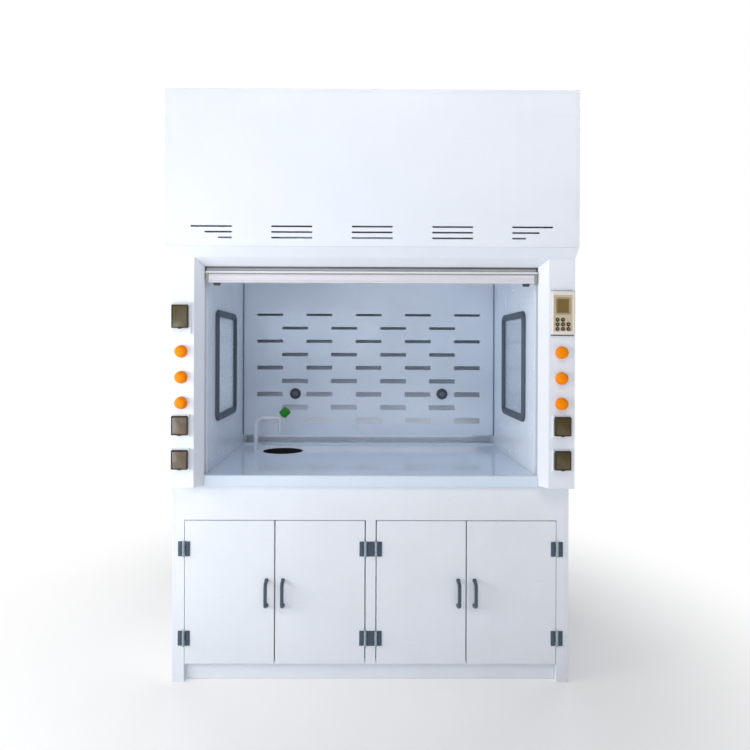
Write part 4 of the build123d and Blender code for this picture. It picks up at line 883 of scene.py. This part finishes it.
# ------------------------------------------------------------------ tap
slo, shi = B("tap_spout")
tblo, tbhi = B("tap_base")
tx, ty = (tblo.x + tbhi.x) / 2, (tblo.y + tbhi.y) / 2
TOP = B("worktop")[1].z
nx, az = -422.0, 934.0
tr = tx - slo.x
drop = 66.0 if tr > 9.0 else 56.0
b = Build()
b.lathe((tx, ty, TOP), AZ, [(0, -12), (5.0, -12), (5.0, 7.4), (tr + 1.2, 7.4), (tr + 1.8, 8.0), (tr + 1.8, 13.0), (tr + 1.0, 14.2), (0, 14.2)], 36)
path = bent([(tx, ty, TOP + 14.0), (tx, ty, az), (nx - 2.0, ty, az)], (36,), 16)
ring = [(math.cos(TAU * i / 32) * tr, math.sin(TAU * i / 32) * tr) for i in range(32)]
b.sweep(path, AY, lambda t: ring)
hr = 10.5
b.lathe((nx, ty, az), AZ, [(0, -drop), (3.3, -drop), (4.2, 0.6 - drop), (4.5, 2.0 - drop), (5.4, 12.0 - drop), (6.9, -34), (8.2, -20), (8.8, -17.0), (9.6, -15.2), (10.2, -13.2), (hr, -11.5), (hr, 4.6), (10.2, 6.6),
                           (9.4, 8.4), (6.5, 9.6), (0, 10.0)], 40)
b.lathe((nx, ty, az), AZ, [(0, -13.0), (hr + 0.01, -13.0), (hr + 0.01, -12.2), (0, -12.2)], 40)
tilt = Vector((math.cos(math.radians(46)), 0, math.sin(math.radians(46))))
b.lathe((nx, ty, az), tilt, [(0, 2.0), (7.5, 2.0), (7.5, 13.4), (6.9, 14.6), (5.6, 15.0), (0, 15.0)], 32)
piece("tap_spout_bent", b, "tap_spout", M["tap_white"], ("tap_spout",), angle=40)
llo, lhi = B("tap_lever")
KN = (lhi.y - llo.y) / 2                       # knob radius across the axis
KR2 = max(19.5, KN + 0.3)
KL = 57.0 if KN > 19.5 else 53.0
b = Build()
b.lathe((nx, ty, az), tilt, [(0, 15.2), (3.5, 15.2), (3.5, 15.4), (7.4, 15.4), (8.0, 16.0), (8.0, 18.2), (KR2 - 6.0, 18.3), (KR2 - 1.6, 19.4), (KR2 - 0.7, 20.6), (KR2 - 0.2, 22.6), (KR2, 26.0), (KR2, KL - 7.0),
                            (KR2 - 0.6, KL - 3.4), (KR2 - 2.1, KL - 1.2), (KR2 - 4.5, KL - 0.1), (KR2 - 8.2, KL), (KR2 - 9.6, KL - 0.8), (KR2 - 10.4, KL - 1.4), (0, KL - 1.5)], 96,
        lambda t, r, h: (-3.4 * max(0.0, math.cos(3 * (t + 0.52)) ** 6) * min(1.0, max(0.0, (r - 11.0) / 6.0)) if 19.0 <= h <= KL - 0.6 else 0.0))
piece("tap_valve_knob", b, "tap_lever", M["lever_green"], ("tap_lever",), angle=40)
b = Build()
b.lathe((nx, ty, az), tilt, [(0, KL - 1.6), (8.6, KL - 1.6), (8.6, KL - 0.7), (7.8, KL - 0.2), (0, KL)], 40)
piece("tap_valve_cap", b, "tap_lever", M["lever_cap"])

# ------------------------------------------------------------------ cup rim and strainer
SX, SY = -401.0, 134.0
SA, SB = 96.0, 80.0
b = Build()
rings = []
for d, z in ((-3.6, -0.9), (-3.4, 0.4), (-2.4, 1.3), (-0.6, 1.7), (1.6, 1.5), (2.8, 0.8), (3.2, 0.03), (0.4, 0.03), (0.1, -0.9)):
    rings.append([Vector((SX + (SA + d) * math.cos(TAU * i / 96), SY + (SB + d) * math.sin(TAU * i / 96), TOP + z)) for i in range(96)])
b.skin(rings, loop=True)
piece("cup_rim", b, "hood", M["rim_pale"])
b = Build()
zs = TOP - 143.8
b.lathe((SX, SY, zs), AZ, [(16.2, 0), (16.2, 1.6), (17.2, 2.6), (21.5, 2.6), (23.4, 1.2), (23.6, 0)], 48, loop=True)
for a in range(3):
    t = math.pi * a / 3
    d = Vector((math.cos(t), math.sin(t), 0))
    e = Vector((-d.y, d.x, 0))
    p0, p1 = Vector((SX, SY, zs + 0.4)) - d * 17.0, Vector((SX, SY, zs + 0.4)) + d * 17.0
    b.skin([[p - e * 1.1, p + e * 1.1, p + e * 1.1 + AZ * 1.6, p - e * 1.1 + AZ * 1.6] for p in (p0, p1)])
piece("cup_strainer", b, "hood", M["cable_steel"])

# ------------------------------------------------------------------ painted shadow strips at the baffle corners, and weld beads
LX = 626.0
blo, bhi = B("baffle")
# Blue-grey strips where the baffle meets the side walls: a painted shadow line in each corner.
b = Build()
for s in (-1, 1):
    xa, xb = sorted((s * (LX - 0.2), s * (LX - 4.0)))
    b.block((xa, by - 5.5, TOP + 46.0), (xb, by - 0.1, 1588.0), 1.5, 1.2)
piece("baffle_corner_painted_shadow", b, "hood", M["seal_blue"])


def bead(b, p0, p1, n, r=2.6, pitch=7.0):
    """A hand-laid weld bead between two points, standing off towards n."""
    p0, p1, n = Vector(p0), Vector(p1), Vector(n).normalized()
    d = (p1 - p0)
    length = d.length
    d.normalize()
    side = d.cross(n)
    count = max(3, int(length / pitch * 3))
    rings = []
    for i in range(count + 1):
        t = i / count
        k = 1.0 + 0.14 * math.sin(TAU * t * length / pitch) + 0.05 * math.sin(TAU * t * length / 53.0)
        if i in (0, count):
            k *= 0.5
        c = p0 + d * (length * t)
        rings.append([c + (side * math.cos(TAU * j / 8) + n * math.sin(TAU * j / 8)) * r * k for j in range(8)])
    b.skin(rings)


b = Build()
for s in (-1, 1):
    bead(b, (s * (LX - 0.6), -305, TOP + 0.6), (s * (LX - 0.6), 405, TOP + 0.6), (-s, 0, 1))
    bead(b, (s * (LX - 0.6), -305, 1699.4), (s * (LX - 0.6), 100, 1699.4), (-s, 0, -1))
bead(b, (-LX + 3, 295.6, TOP + 0.4), (LX - 3, 295.6, TOP + 0.4), (0, -1, 1), 2.2)
piece("chamber_weld_beads", b, "hood", M["bead_white"], angle=60)

# ------------------------------------------------------------------ roof and back fixings
rlo, rhi = B("hood_shell")
clo, chi = B("cabinet_carcass")
dlo, dhi = B("exhaust_duct")
roof, back = rhi.z, chi.y - 2.0
b = Build()
for x in [-720 + 144 * i for i in range(11)]:
    for y in (-405, 407):
        b.screw((x, y, roof - 0.02), AZ, 4.0, 1.8, turn=x * 0.11 + y)
for y in [-290 + 145 * i for i in range(5)]:
    for x in (-720, 720):
        b.screw((x, y, roof - 0.02), AZ, 4.0, 1.8, turn=y * 0.17)
for z in [790 + 138 * i for i in range(11)] + [40, 175, 310, 445, 580, 715]:
    for x in (-722, 722):
        b.screw((x, back - 0.02, z), AY, 4.0, 1.7, turn=z * 0.13)
for x in [-578 + 144.5 * i for i in range(9)]:
    for z in (2170, 790, 715, 40):
        b.screw((x, back - 0.02, z), AY, 4.0, 1.7, turn=x * 0.19 + z)
piece("shell_screws", b, "hood", M["screw_steel"])
b = Build()
dc = (dlo + dhi) / 2
for i in range(8):
    t = TAU * (i + 0.5) / 8
    b.hexhead((dc.x + 142 * math.cos(t), dc.y + 142 * math.sin(t), roof + 5.98), AZ, 5.5, 4.6, turn=t)
piece("duct_flange_bolts", b, "hood", M["screw_steel"])
b = Build()
b.lathe((dc.x, dc.y, roof), AZ, [(125.02, 5.9), (129.0, 5.9), (128.6, 7.6), (127.2, 9.4), (125.02, 10.2)], 120, loop=True)
b.lathe((dc.x, dc.y, roof), AZ, [(125.02, 44.0), (126.2, 44.2), (126.8, 45.4), (126.8, 48.6), (126.2, 49.8), (125.02, 50.0)], 120, loop=True)
piece("duct_collar_beads", b, "hood", M["duct_grey"])

# ------------------------------------------------------------------ floor
bm = bmesh.new()
bmesh.ops.create_circle(bm, cap_ends=True, segments=128, radius=14.0)
me = bpy.data.meshes.new("floor")
bm.to_mesh(me)
bm.free()
floor = bpy.data.objects.new("floor", me)
scene.collection.objects.link(floor)
floor.location = (0, 0, -0.0005)
k = Net("floor_pale")
k.b.inputs["Roughness"].default_value = 0.75
k.link(k.mixc(k.rng(k.noise(1.2, 3.0), 0.3, 0.7, 0.0, 1.0), (0.86, 0.865, 0.875), (0.90, 0.90, 0.905)), k.b.inputs["Base Color"])
em = k.n("ShaderNodeEmission")
em.inputs["Color"].default_value = (1, 1, 1, 1)
em.inputs["Strength"].default_value = 1.0
ln = k.n("ShaderNodeVectorMath")
ln.operation = "LENGTH"
k.link(k.tc.outputs["Object"], ln.inputs[0])
ms = k.n("ShaderNodeMixShader")
k.link(k.rng(ln.outputs["Value"], 0.75, 2.1, 0.28, 1.0, True), ms.inputs["Fac"])
k.link(k.b.outputs[0], ms.inputs[1])
k.link(em.outputs[0], ms.inputs[2])
k.link(ms.outputs[0], k.out.inputs["Surface"])
me.materials.append(k.m)
floor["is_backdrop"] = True

# ------------------------------------------------------------------ finish
{"cad": CAD_BOX, "visual": plain_bounds()}
